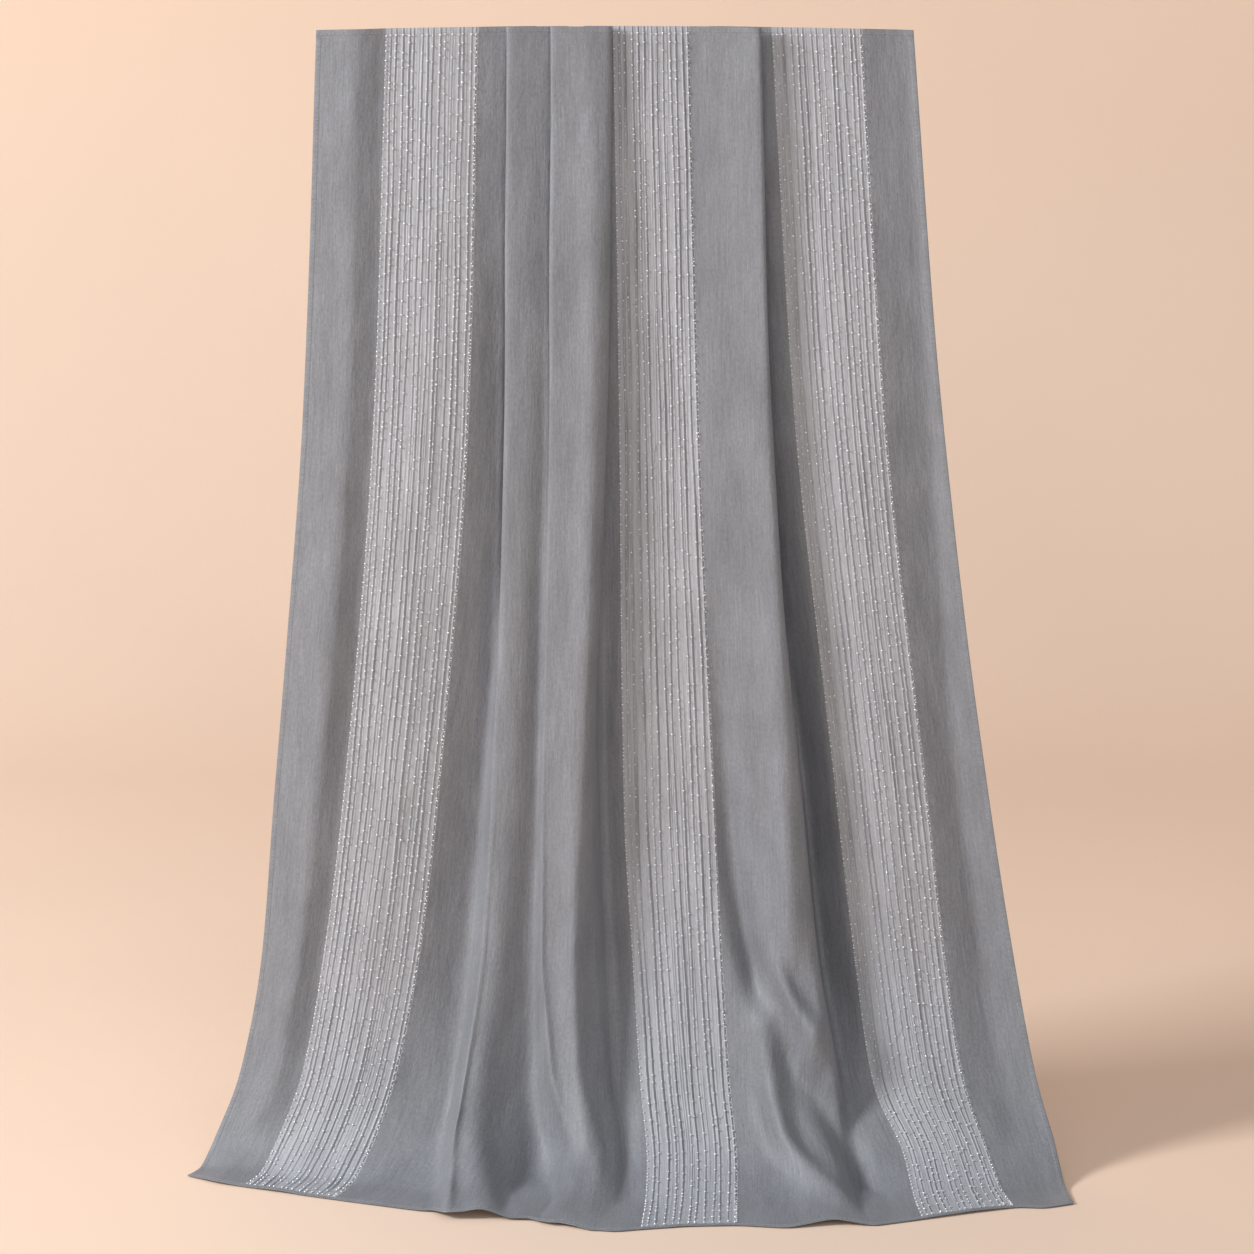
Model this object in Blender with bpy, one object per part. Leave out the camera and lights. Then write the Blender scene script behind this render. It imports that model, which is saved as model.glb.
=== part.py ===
"""A hijab headscarf: one length of cool grey cloth with three pleated bands, hung by its top hem.

The cloth hangs from the middle of its top edge at the origin, faces -Y, and its lower end sweeps
forward onto the floor. Lines run down the cloth, and each horizontal section is a rounded path
through them. All pieces are walls on that one surface.
"""

import math
from collections import namedtuple

import bmesh
import bpy
import numpy as np

MM = 0.001

# The cloth as cut and as hung, in millimetres.
WALL = 1.2
SEAM_GAP = 0.3
HEM_WIDTH = 4.0
HEM_EXTRA = 0.5
HANG_HEIGHT = 872.0
TOP_SAG = 3.0
HALF_TOP_WIDTH = 222.0

# Pleats of the bands, in millimetres.
PLEAT_RISE = 1.1
PLEAT_CREST = (0.3, 0.7)
PLEAT_UNEVEN = 0.16

# Width of the turn where the cloth doubles back, at the top and lower down.
TURN_TOP = 3.6
TURN_LOW = 6.5
TURN_OPEN_LENGTH = 590.0

# Rounding at a corner: its share of u on each side, and its least and most share of a leg.
ROUND_U = 0.3
ROUND_LENGTH = 2.4
ROUND_LEAST = 0.2
ROUND_MOST = 0.45

# How the middle of the cloth comes down: length along it, drop below the top edge, and the
# share of its forward run that it has reached.
Path = namedtuple("Path", "length drop reach")
PATH = (
    Path(0, 0.0, 0.0),
    Path(590, 590.0, 0.012),
    Path(664, 664.0, 0.03),
    Path(715, 714.5, 0.055),
    Path(760, 759.0, 0.1),
    Path(805, 802.0, 0.18),
    Path(840, 832.0, 0.285),
    Path(870, 852.5, 0.41),
    Path(900, 865.0, 0.57),
    Path(926, 871.4, 0.72),
    Path(974, 871.4, 1.0),
)
NOMINAL_RUN = 170.0

# The lengths down the cloth at which the tables below give a place.
STATIONS = (0.0, 280.0, 590.0, 715.0, 805.0, 870.0, 974.0)
Line = namedtuple("Line", "name turn run top upper middle lower lean bend hem")

# Lines across the cloth from left to right: whether the cloth doubles back there, how far
# forward its lower end lies, and its place from the middle at each station.
ACROSS = (
    Line("edge_left", False, 49, -221, -235, -263, -274, -291, -311, -329),
    Line("crown_1", False, 68, -190, -200, -228, -244, -260, -280, -303),
    Line("band_1_left", False, 75, -169, -181, -209, -226, -242, -261, -283),
    Line("band_1_mid", False, 90, -134, -145, -172, -188, -205, -224, -248),
    Line("band_1_right", False, 104, -100, -108, -134, -150, -168, -186, -213),
    Line("under_1", True, 131, -57, -72, -101, -114, -125, -135, -140),
    Line("fold_1", True, 149, -79, -82, -91, -101, -115, -123, -122),
    Line("under_2", True, 150, -34, -46, -58, -64, -64, -52, -66),
    Line("fold_2", True, 162, -47, -48, -54, -55, -46, -26, -44),
    Line("crown_2", False, 168, -20, -21, -33, -33, -27, -10, -28),
    Line("roll_2", True, 173, -2, -5, -19, -16, -8, 2, -14),
    Line("under_3", True, 175, -22, -16, -9, -3, 2, 9, 0),
    Line("band_2_left", False, 171, -1, 3, 6, 13, 19, 24, 19),
    Line("band_2_mid", False, 164, 28, 33, 42, 48, 52, 57, 55),
    Line("band_2_right", False, 162, 56, 64, 78, 84, 89, 94, 92),
    Line("flank_3", False, 168, 80, 92, 112, 120, 130, 134, 128),
    Line("fold_3", True, 161, 108, 117, 141, 154, 168, 171, 163),
    Line("under_4", True, 162, 70, 98, 147, 161, 177, 190, 192),
    Line("band_3_left", False, 149, 117, 135, 170, 185, 198, 221, 229),
    Line("band_3_mid", False, 135, 150, 169, 206, 221, 234, 254, 265),
    Line("band_3_right", False, 122, 184, 204, 242, 257, 270, 287, 302),
    Line("crease_4", False, 124, 214, 236, 266, 285, 299, 312, 323),
    Line("edge_right", False, 114, 222, 247, 289, 310, 327, 341, 347),
)

# How far each line stands proud of the path at the same stations.
Proud = namedtuple("Proud", "name top upper middle lower lean bend hem")
PROUD = (
    Proud("edge_left", 0, 0, 0, 1, 1, 1, 0),
    Proud("crown_1", 6, 9, 12, 12, 10, 4, 1),
    Proud("band_1_left", 1, 3, 5, 6, 7, 4, 0),
    Proud("band_1_mid", 2, 5, 7, 8, 8, 6, 1),
    Proud("band_1_right", 0, 1, 2, 3, 4, 3, 0),
    Proud("under_1", -4, -9, -10, -7, -3, -1, 0),
    Proud("fold_1", 3, 4, 4, 5, 10, 14, 5),
    Proud("under_2", 1, 2, 2, 0, -5, -9, 0),
    Proud("fold_2", 6, 8, 9, 10, 12, 9, 1.5),
    Proud("crown_2", 10, 12, 15, 15, 12, 10, 1.5),
    Proud("roll_2", 6, 6, 6, 5, 2, 2, 0),
    Proud("under_3", 0, -9, -17, -14, -9, -5, 0),
    Proud("band_2_left", -1, -6, -11, -8, -5, 0, 0),
    Proud("band_2_mid", 0, -3, -5, -2, 0, 1, 0),
    Proud("band_2_right", 0, 0, -2, 0, 1, 1, 0),
    Proud("flank_3", 5, 5, 6, 10, 8, 4, 0),
    Proud("fold_3", 9, 10, 13, 17, 19, 11, 3),
    Proud("under_4", -2, -20, -34, -31, -12, 0, 0),
    Proud("band_3_left", -2, -6, -10, -10, -7, 1, 0),
    Proud("band_3_mid", 0, -1, -2, -2, 0, 3, 1),
    Proud("band_3_right", 0, -2, -4, -4, -1, 1, 0),
    Proud("crease_4", -2, -6, -12, -11, -7, 0, 0),
    Proud("edge_right", 0, -2, -1, 0, 1, 1, 0),
)

# Soft ridges and troughs: each runs through places given across and down the cloth, with its
# rise at each of them.
Crease = namedtuple("Crease", "name half_width places")
Place = namedtuple("Place", "across down rise")
CREASES = (
    Crease("fold_1_crown", 9.0, (
        Place(-68, 20, 0), Place(-69, 150, 2), Place(-72, 280, 4), Place(-79, 590, 4),
        Place(-90, 715, 5), Place(-105, 800, 6), Place(-108, 860, 6), Place(-110, 915, 2))),
    Crease("fold_2_crown", 9.0, (
        Place(-36, 20, 0), Place(-36, 150, 2), Place(-37, 280, 4), Place(-43, 590, 5),
        Place(-45, 715, 6), Place(-37, 805, 6), Place(-24, 850, 5), Place(-18, 885, 2))),
    Crease("flank_trough", 12.0, (
        Place(80, 420, 0), Place(86, 560, -5), Place(92, 640, -9), Place(98, 715, -8),
        Place(99, 745, -3))),
    Crease("flank_crown", 11.0, (
        Place(112, 350, 0), Place(122, 520, 3), Place(127, 620, 6), Place(131, 690, 5),
        Place(134, 720, 0))),
    Crease("knee_ridge", 8.0, (
        Place(114, 688, 0), Place(122, 712, 5), Place(131, 736, 8), Place(141, 755, 9),
        Place(152, 772, 9))),
    Crease("knee_bump", 12.0, (Place(160, 778, 8), Place(152, 800, 9), Place(145, 816, 5))),
    Crease("long_trough", 11.0, (
        Place(99, 745, -3), Place(115, 765, -5), Place(136, 796, -10), Place(159, 838, -11),
        Place(175, 862, -9), Place(199, 915, -3))),
    Crease("second_ridge", 12.0, (
        Place(111, 758, 3), Place(108, 812, 9), Place(118, 852, 11), Place(140, 876, 8),
        Place(170, 912, 5), Place(180, 950, 1))),
)

# Each wall: its first and last line, its kind, and the number of pleats on a band.
Piece = namedtuple("Piece", "name first last kind pleats")
PIECES = (
    Piece("panel_left", "edge_left", "band_1_left", "plain", 0),
    Piece("band_left", "band_1_left", "band_1_right", "pleated", 15),
    Piece("panel_mid_left", "band_1_right", "band_2_left", "plain", 0),
    Piece("band_centre", "band_2_left", "band_2_right", "pleated", 12),
    Piece("panel_mid_right", "band_2_right", "band_3_left", "plain", 0),
    Piece("band_right", "band_3_left", "band_3_right", "pleated", 14),
    Piece("panel_right", "band_3_right", "edge_right", "plain", 0),
)

# Columns of faces at a turn, on each side of its middle, and on the cloth between two corners.
TURN_COLUMNS = (-0.8, -0.5, 0.0, 0.5, 0.8)
LEG_COLUMNS = (0.4, 0.6)

# Rows of faces down the cloth, closer where it bends.
ROWS = (
    0, 70, 140, 210, 280, 370, 480, 590, 655, 715, 760, 790, 815, 838, 858, 876, 893, 912, 935, 974,
)

COLLECTION = "hijab_headscarf"
Finish = namedtuple("Finish", "name colour roughness")
FINISHES = {
    "plain": Finish("satin_crepe", (0.216, 0.216, 0.231, 1.0), 0.55),
    "pleated": Finish("pleated_crepe", (0.352, 0.352, 0.371, 1.0), 0.6),
    "hem": Finish("hem_crepe", (0.25, 0.25, 0.265, 1.0), 0.55),
}


def clear_scene():
    for obj in list(bpy.data.objects):
        bpy.data.objects.remove(obj, do_unlink=True)


def eased(knots, values, at):
    """Values at the given places on a smooth curve that never overshoots its knots."""
    knots = np.asarray(knots, float)
    values = np.asarray(values, float)
    at = np.clip(at, knots[0], knots[-1])
    steps = np.diff(knots)
    slopes = np.diff(values) / steps
    ends = np.zeros(len(knots))
    ends[0], ends[-1] = slopes[0], slopes[-1]
    same_way = slopes[:-1] * slopes[1:] > 0
    before, after = 2 * steps[1:] + steps[:-1], steps[1:] + 2 * steps[:-1]
    safe_1 = np.where(same_way, slopes[:-1], 1.0)
    safe_2 = np.where(same_way, slopes[1:], 1.0)
    ends[1:-1] = np.where(same_way, (before + after) / (before / safe_1 + after / safe_2), 0.0)
    k = np.clip(np.searchsorted(knots, at, side="right") - 1, 0, len(steps) - 1)
    h, t = steps[k], (at - knots[k]) / steps[k]
    return (
        values[k] * (1 + 2 * t) * (1 - t) ** 2
        + ends[k] * h * t * (1 - t) ** 2
        + values[k + 1] * t**2 * (3 - 2 * t)
        - ends[k + 1] * h * t**2 * (1 - t)
    )


def path_at(down):
    """Drop, reach and the path's outward direction (forward share, upward share)."""
    lengths = [row.length for row in PATH]
    drops = [row.drop for row in PATH]
    reaches = [row.reach for row in PATH]
    drop, reach = eased(lengths, drops, down), eased(lengths, reaches, down)
    step = 4.0
    low, high = np.maximum(down - step, 0), np.minimum(down + step, lengths[-1])
    fall = eased(lengths, drops, high) - eased(lengths, drops, low)
    run = (eased(lengths, reaches, high) - eased(lengths, reaches, low)) * NOMINAL_RUN
    size = np.hypot(fall, run)
    return drop, reach, fall / size, run / size


def crease_rise(across, down):
    """Height of the soft ridges and troughs at a place on the cloth."""
    total = np.zeros(np.broadcast(across, down).shape)
    for crease in CREASES:
        nearest = np.full(total.shape, np.inf)
        rise = np.zeros(total.shape)
        for a, b in zip(crease.places, crease.places[1:]):
            along_x, along_v = b.across - a.across, b.down - a.down
            share = (across - a.across) * along_x + (down - a.down) * along_v
            share = np.clip(share / (along_x**2 + along_v**2), 0, 1)
            off_x = across - a.across - share * along_x
            off_v = down - a.down - share * along_v
            distance = off_x**2 + off_v**2
            rise = np.where(distance < nearest, a.rise + (b.rise - a.rise) * share, rise)
            nearest = np.minimum(nearest, distance)
        total += rise * np.exp(-nearest / crease.half_width**2)
    return total


def corners_at(down):
    """Corners of each section (across, proud, run), with two corners where the cloth turns."""
    flat = [eased(STATIONS, row[3:], down) for row in ACROSS]
    proud = [eased(STATIONS, row[1:], down) for row in PROUD]
    run = [np.full(len(down), float(row.run)) for row in ACROSS]
    points = np.stack([np.array(flat), np.array(proud), np.array(run)], axis=-1)
    opening = eased((0.0, TURN_OPEN_LENGTH, STATIONS[-1]), (TURN_TOP, TURN_LOW, TURN_LOW), down)
    corners = []
    for k, line in enumerate(ACROSS):
        if not line.turn:
            corners.append(points[k])
            continue
        back = points[k - 1, :, :2] - points[k, :, :2]
        ahead = points[k + 1, :, :2] - points[k, :, :2]
        back /= np.linalg.norm(back, axis=1)[:, None]
        ahead /= np.linalg.norm(ahead, axis=1)[:, None]
        way = ahead - back
        way /= np.linalg.norm(way, axis=1)[:, None]
        offset = np.zeros_like(points[k])
        offset[:, :2] = way * opening[:, None] / 2
        corners += [points[k] - offset, points[k] + offset]
    return np.array(corners)


def corner_index():
    """The place of each line among the corners: a turning line has its middle between two."""
    places, count = {}, 0
    for line in ACROSS:
        places[line.name] = count + 0.5 if line.turn else float(count)
        count += 2 if line.turn else 1
    return places


def section_points(corners, u):
    """Points on the rounded path through the corners, at each place u."""
    last = len(corners) - 1
    k = np.clip(np.floor(u + 0.5).astype(int), 0, last)
    before, at, after = corners[np.maximum(k - 1, 0)], corners[k], corners[np.minimum(k + 1, last)]
    offset = (u - k)[:, None]
    ends = []
    for other in (before, after):
        leg = np.maximum(np.linalg.norm((other - at)[..., :2], axis=-1), 1e-6)
        share = np.clip(ROUND_LENGTH / leg, ROUND_LEAST, ROUND_MOST)
        ends.append(at + (other - at) * share[..., None])
    start, end = ends
    t = np.clip((offset + ROUND_U) / (2 * ROUND_U), 0, 1)[..., None]
    bend = start * (1 - t) ** 2 + at * 2 * t * (1 - t) + end * t**2
    straight = 0.5 - ROUND_U
    left = np.clip((-offset - ROUND_U) / straight, 0, 1)[..., None]
    right = np.clip((offset - ROUND_U) / straight, 0, 1)[..., None]
    return bend + ((before + at) / 2 - start) * left + ((after + at) / 2 - end) * right


def evenly(share):
    """The place u within a leg at a share of its length."""
    return np.interp(share, (0, ROUND_LEAST, 1 - ROUND_LEAST, 1), (0, ROUND_U, 1 - ROUND_U, 1))


def cloth_points(u, down):
    """The cloth's middle surface: one row of points for each u, one column for each length."""
    u, down = np.asarray(u, float), np.asarray(down, float)
    section = section_points(corners_at(down), u)
    drop, reach, forward, upward = path_at(down)
    across, run = section[..., 0], section[..., 2]
    proud = section[..., 1] + crease_rise(across, down[None, :])
    sag = TOP_SAG * (across / HALF_TOP_WIDTH) ** 2 * np.clip(1 - down / TURN_OPEN_LENGTH, 0, 1)
    y = -(run * reach + proud * forward)
    z = -drop - sag + proud * upward
    lowest = WALL / 2 - HANG_HEIGHT
    return np.stack([across, y, np.maximum(z, lowest)], axis=-1)


def cloth_normals(u, down):
    """The outward direction of the cloth at the same points."""
    u, down = np.asarray(u, float), np.asarray(down, float)
    du, dv = 0.02, 0.5
    last = corner_index()["edge_right"]
    across = cloth_points(np.minimum(u + du, last), down) - cloth_points(np.maximum(u - du, 0), down)
    below = np.minimum(down + dv, STATIONS[-1])
    along = cloth_points(u, below) - cloth_points(u, np.maximum(down - dv, 0))
    normal = np.cross(along, across)
    return normal / np.linalg.norm(normal, axis=-1)[..., None]


def moved_in(points, distance, axis):
    """The same grid with its first and last line moved inwards along the cloth."""
    points = np.moveaxis(points.copy(), axis, 0)
    for edge, inner in ((0, 1), (-1, -2)):
        way = points[inner] - points[edge]
        amount = distance[0 if edge == 0 else 1]
        points[edge] += way / np.linalg.norm(way, axis=-1)[..., None] * amount
    return np.moveaxis(points, 0, axis)


def plain_columns(first, last):
    """Places across a plain wall: its ends, several at each turn, and some between."""
    places = corner_index()
    start, end = places[first], places[last]
    turns = {int(places[line.name]) for line in ACROSS if line.turn}
    edges = {0, int(places["edge_right"]) - 1}
    legs = set(range(int(start), int(end))) - turns - edges
    columns = {start, end} | {leg + share for leg in legs for share in LEG_COLUMNS}
    for line in ACROSS:
        place = places[line.name]
        if not start < place < end:
            continue
        if line.turn:
            columns |= {place + side for side in TURN_COLUMNS}
        else:
            columns |= {place - ROUND_U, place + ROUND_U}
    return sorted(columns)


def pleat_columns(first, last, pleats):
    """Places across a band, the rise of its front at each, and which of them are valleys."""
    places = corner_index()
    start, end = places[first], places[last]
    columns, rises, valleys = [], [], []
    for k in range(pleats):
        low = k + PLEAT_UNEVEN * math.sin(2.3 * k) * (k > 0)
        high = k + 1 + PLEAT_UNEVEN * math.sin(2.3 * (k + 1)) * (k + 1 < pleats)
        valleys.append(len(columns))
        columns.append(low)
        rises.append(0.0)
        for share in PLEAT_CREST:
            columns.append(low + (high - low) * share)
            rises.append(PLEAT_RISE)
    valleys.append(len(columns))
    columns.append(float(pleats))
    rises.append(0.0)
    legs = np.array(columns) / pleats * (end - start)
    whole = np.minimum(np.floor(legs), end - start - 1)
    return start + whole + evenly(legs - whole), np.array(rises), valleys


def wall_mesh(name, front, back, shared):
    """One closed wall. Its back has only the shared columns of its front."""
    mesh = bmesh.new()
    rows = front.shape[1]
    outer = [[mesh.verts.new(point * MM) for point in column] for column in front]
    inner = [[mesh.verts.new(point * MM) for point in column] for column in back]
    for a, b in zip(outer, outer[1:]):
        for j in range(rows - 1):
            mesh.faces.new((a[j], a[j + 1], b[j + 1], b[j]))
    for a, b in zip(inner, inner[1:]):
        for j in range(rows - 1):
            mesh.faces.new((a[j], b[j], b[j + 1], a[j + 1]))
    for out_side, in_side in ((outer[0], inner[0]), (outer[-1], inner[-1])):
        for j in range(rows - 1):
            mesh.faces.new((out_side[j], out_side[j + 1], in_side[j + 1], in_side[j]))
    for k, (low, high) in enumerate(zip(shared, shared[1:])):
        for j in (0, rows - 1):
            rim = [outer[c][j] for c in range(low, high + 1)]
            mesh.faces.new(rim + [inner[k + 1][j], inner[k][j]])
    bmesh.ops.triangulate(mesh, faces=[face for face in mesh.faces if len(face.verts) > 4])
    bmesh.ops.recalc_face_normals(mesh, faces=mesh.faces)
    data = bpy.data.meshes.new(name)
    mesh.to_mesh(data)
    mesh.free()
    data.shade_smooth()
    data.set_sharp_from_angle(angle=math.radians(40))
    return data


def add_wall(name, columns, down, inset, finish, front_rise=0.0, shared=None):
    """A named wall on the cloth: inset holds how far its sides and its ends are moved in."""
    middle = cloth_points(columns, down)
    normals = cloth_normals(columns, down)
    sides, ends = inset
    middle = moved_in(moved_in(middle, sides, 0), ends, 1)
    rise = np.broadcast_to(front_rise, (len(columns),))[:, None, None]
    front = middle + normals * (WALL / 2 + rise)
    shared = list(range(len(columns))) if shared is None else shared
    back = (middle - normals * WALL / 2)[shared]
    obj = bpy.data.objects.new(name, wall_mesh(name, front, back, shared))
    obj.data.materials.append(finish)
    bpy.data.collections[COLLECTION].objects.link(obj)
    return obj


def add_pieces(finishes):
    """The plain panels and the pleated bands."""
    clear = HEM_WIDTH + SEAM_GAP
    for piece in PIECES:
        left = clear if piece.first == "edge_left" else SEAM_GAP / 2
        right = clear if piece.last == "edge_right" else SEAM_GAP / 2
        inset = ((left, right), (clear, clear))
        if piece.kind == "plain":
            add_wall(piece.name, plain_columns(piece.first, piece.last), ROWS, inset, finishes["plain"])
            continue
        columns, rises, valleys = pleat_columns(piece.first, piece.last, piece.pleats)
        add_wall(piece.name, columns, ROWS, inset, finishes["pleated"], rises, valleys)


def hem_columns():
    """Places across the cross hems: those of every plain wall and the valleys of every band."""
    columns = set()
    for piece in PIECES:
        if piece.kind == "plain":
            columns |= set(plain_columns(piece.first, piece.last))
        else:
            places, _, valleys = pleat_columns(piece.first, piece.last, piece.pleats)
            columns |= {float(places[k]) for k in valleys}
    return sorted(columns)


def hem_strip(columns, near, far):
    """A strip from an end of the cloth to the hem's width in, with the panels' outer corners."""
    ends = cloth_points(columns, [near, far])
    corners = moved_in(ends, (HEM_WIDTH + SEAM_GAP,) * 2, 0)
    ends = np.concatenate([ends[:1], corners[:1], ends[1:-1], corners[-1:], ends[-1:]])
    way = ends[:, 1] - ends[:, 0]
    way /= np.linalg.norm(way, axis=-1)[..., None]
    normals = cloth_normals(columns, [near])
    normals = np.concatenate([normals[:1], normals, normals[-1:]])
    middle = np.stack([ends[:, 0], ends[:, 0] + way * HEM_WIDTH], axis=1)
    return middle, np.repeat(normals, 2, axis=1)


def add_strip(name, middle, normals, finish):
    front = middle + normals * (WALL / 2 + HEM_EXTRA)
    back = middle - normals * WALL / 2
    obj = bpy.data.objects.new(name, wall_mesh(name, front, back, list(range(len(front)))))
    obj.data.materials.append(finish)
    bpy.data.collections[COLLECTION].objects.link(obj)
    return obj


def add_cross_hems(finish):
    """The hems at the held end and at the trailing end, right across the cloth."""
    columns = hem_columns()
    add_strip("hem_top", *hem_strip(columns, STATIONS[0], ROWS[1]), finish)
    add_strip("hem_bottom", *hem_strip(columns, STATIONS[-1], ROWS[-2]), finish)


def add_side_hems(finish):
    """The narrow hems down both sides, between the cross hems."""
    last = corner_index()["edge_right"]
    clear = HEM_WIDTH + SEAM_GAP
    for name, edge, inner in (("hem_left", 0.0, ROUND_U), ("hem_right", last, last - ROUND_U)):
        grid = cloth_points([edge, inner], ROWS)
        grid = moved_in(grid, (clear, clear), 1)
        way = grid[1] - grid[0]
        way /= np.linalg.norm(way, axis=-1)[..., None]
        middle = np.stack([grid[0], grid[0] + way * HEM_WIDTH])
        normals = np.repeat(cloth_normals([edge], ROWS), 2, axis=0)
        add_strip(name, middle, normals, finish)


def make_finishes():
    made = {}
    for kind, finish in FINISHES.items():
        material = bpy.data.materials.new(finish.name)
        material.use_nodes = True
        shader = material.node_tree.nodes["Principled BSDF"]
        shader.inputs["Base Color"].default_value = finish.colour
        shader.inputs["Roughness"].default_value = finish.roughness
        shader.inputs["Metallic"].default_value = 0.0
        material.diffuse_color = finish.colour
        made[kind] = material
    return made


def main():
    clear_scene()
    collection = bpy.data.collections.new(COLLECTION)
    bpy.context.scene.collection.children.link(collection)
    finishes = make_finishes()
    add_pieces(finishes)
    add_cross_hems(finishes["hem"])
    add_side_hems(finishes["hem"])


main()
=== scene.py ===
"""Looks of the hijab headscarf: satin crepe panels, tucked bands, hems, beads and threads."""

import functools
import math
from collections import namedtuple

import bpy
import numpy as np
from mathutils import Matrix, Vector


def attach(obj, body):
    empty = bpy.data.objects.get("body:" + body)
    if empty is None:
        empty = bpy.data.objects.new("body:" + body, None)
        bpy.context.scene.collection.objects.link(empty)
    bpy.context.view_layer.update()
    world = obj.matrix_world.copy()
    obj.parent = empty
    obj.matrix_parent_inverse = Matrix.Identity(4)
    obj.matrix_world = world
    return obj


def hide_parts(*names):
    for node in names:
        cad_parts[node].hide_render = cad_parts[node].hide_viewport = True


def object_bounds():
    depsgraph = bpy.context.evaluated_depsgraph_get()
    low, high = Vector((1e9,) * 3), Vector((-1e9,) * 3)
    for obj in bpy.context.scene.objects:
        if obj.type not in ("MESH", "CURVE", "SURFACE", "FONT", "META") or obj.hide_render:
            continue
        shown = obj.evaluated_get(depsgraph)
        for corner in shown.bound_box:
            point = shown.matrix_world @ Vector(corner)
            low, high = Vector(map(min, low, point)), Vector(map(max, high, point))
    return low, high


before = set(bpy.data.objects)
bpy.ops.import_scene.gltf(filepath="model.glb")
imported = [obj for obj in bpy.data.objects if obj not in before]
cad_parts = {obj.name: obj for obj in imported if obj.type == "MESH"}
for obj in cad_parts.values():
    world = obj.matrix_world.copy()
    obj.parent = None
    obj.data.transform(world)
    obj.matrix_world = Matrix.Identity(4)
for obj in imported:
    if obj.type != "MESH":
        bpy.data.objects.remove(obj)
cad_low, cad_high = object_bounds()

bl_info = {
    "name": "Hijab headscarf",
    "version": (1, 0, 0),
    "blender": (4, 5, 0),
    "location": "View3D > Sidebar > Headscarf",
    "description": "Builds a hanging satin crepe headscarf with tucked and beaded bands",
    "category": "Object",
}

MM = 0.001
BODY = "root"
CLOTH_UV = "cloth"

# The cloth as cut and as hung, in millimetres, as its solids have it.
SOLID_WALL = 1.2
HANG_HEIGHT = 872.0
TOP_SAG = 3.0
HALF_TOP_WIDTH = 222.0
PLEAT_UNEVEN = 0.16
TURN_TOP = 3.6
TURN_LOW = 6.5
TURN_OPEN_LENGTH = 590.0
ROUND_U = 0.3
ROUND_LENGTH = 2.4
ROUND_LEAST = 0.2
ROUND_MOST = 0.45
NOMINAL_RUN = 170.0
LOWEST = SOLID_WALL / 2 - HANG_HEIGHT

# How the middle of the cloth comes down: length along it, drop, and share of its forward run.
Path = namedtuple("Path", "length drop reach")
PATH = (
    Path(0, 0.0, 0.0),
    Path(590, 590.0, 0.012),
    Path(664, 664.0, 0.03),
    Path(715, 714.5, 0.055),
    Path(760, 759.0, 0.1),
    Path(805, 802.0, 0.18),
    Path(840, 832.0, 0.285),
    Path(870, 852.5, 0.41),
    Path(900, 865.0, 0.57),
    Path(926, 871.4, 0.72),
    Path(974, 871.4, 1.0),
)

# Lines across the cloth from left to right: whether the cloth doubles back there, how far
# forward its lower end lies, and its place from the middle at each length in STATIONS.
STATIONS = (0.0, 280.0, 590.0, 715.0, 805.0, 870.0, 974.0)
Line = namedtuple("Line", "name turn run top upper middle lower lean bend hem")
ACROSS = (
    Line("edge_left", False, 49, -221, -235, -263, -274, -291, -311, -329),
    Line("crown_1", False, 68, -190, -200, -228, -244, -260, -280, -303),
    Line("band_1_left", False, 75, -169, -181, -209, -226, -242, -261, -283),
    Line("band_1_mid", False, 90, -134, -145, -172, -188, -205, -224, -248),
    Line("band_1_right", False, 104, -100, -108, -134, -150, -168, -186, -213),
    Line("under_1", True, 131, -57, -72, -101, -114, -125, -135, -140),
    Line("fold_1", True, 149, -79, -82, -91, -101, -115, -123, -122),
    Line("under_2", True, 150, -34, -46, -58, -64, -64, -52, -66),
    Line("fold_2", True, 162, -47, -48, -54, -55, -46, -26, -44),
    Line("crown_2", False, 168, -20, -21, -33, -33, -27, -10, -28),
    Line("roll_2", True, 173, -2, -5, -19, -16, -8, 2, -14),
    Line("under_3", True, 175, -22, -16, -9, -3, 2, 9, 0),
    Line("band_2_left", False, 171, -1, 3, 6, 13, 19, 24, 19),
    Line("band_2_mid", False, 164, 28, 33, 42, 48, 52, 57, 55),
    Line("band_2_right", False, 162, 56, 64, 78, 84, 89, 94, 92),
    Line("flank_3", False, 168, 80, 92, 112, 120, 130, 134, 128),
    Line("fold_3", True, 161, 108, 117, 141, 154, 168, 171, 163),
    Line("under_4", True, 162, 70, 98, 147, 161, 177, 190, 192),
    Line("band_3_left", False, 149, 117, 135, 170, 185, 198, 221, 229),
    Line("band_3_mid", False, 135, 150, 169, 206, 221, 234, 254, 265),
    Line("band_3_right", False, 122, 184, 204, 242, 257, 270, 287, 302),
    Line("crease_4", False, 124, 214, 236, 266, 285, 299, 312, 323),
    Line("edge_right", False, 114, 222, 247, 289, 310, 327, 341, 347),
)

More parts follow.
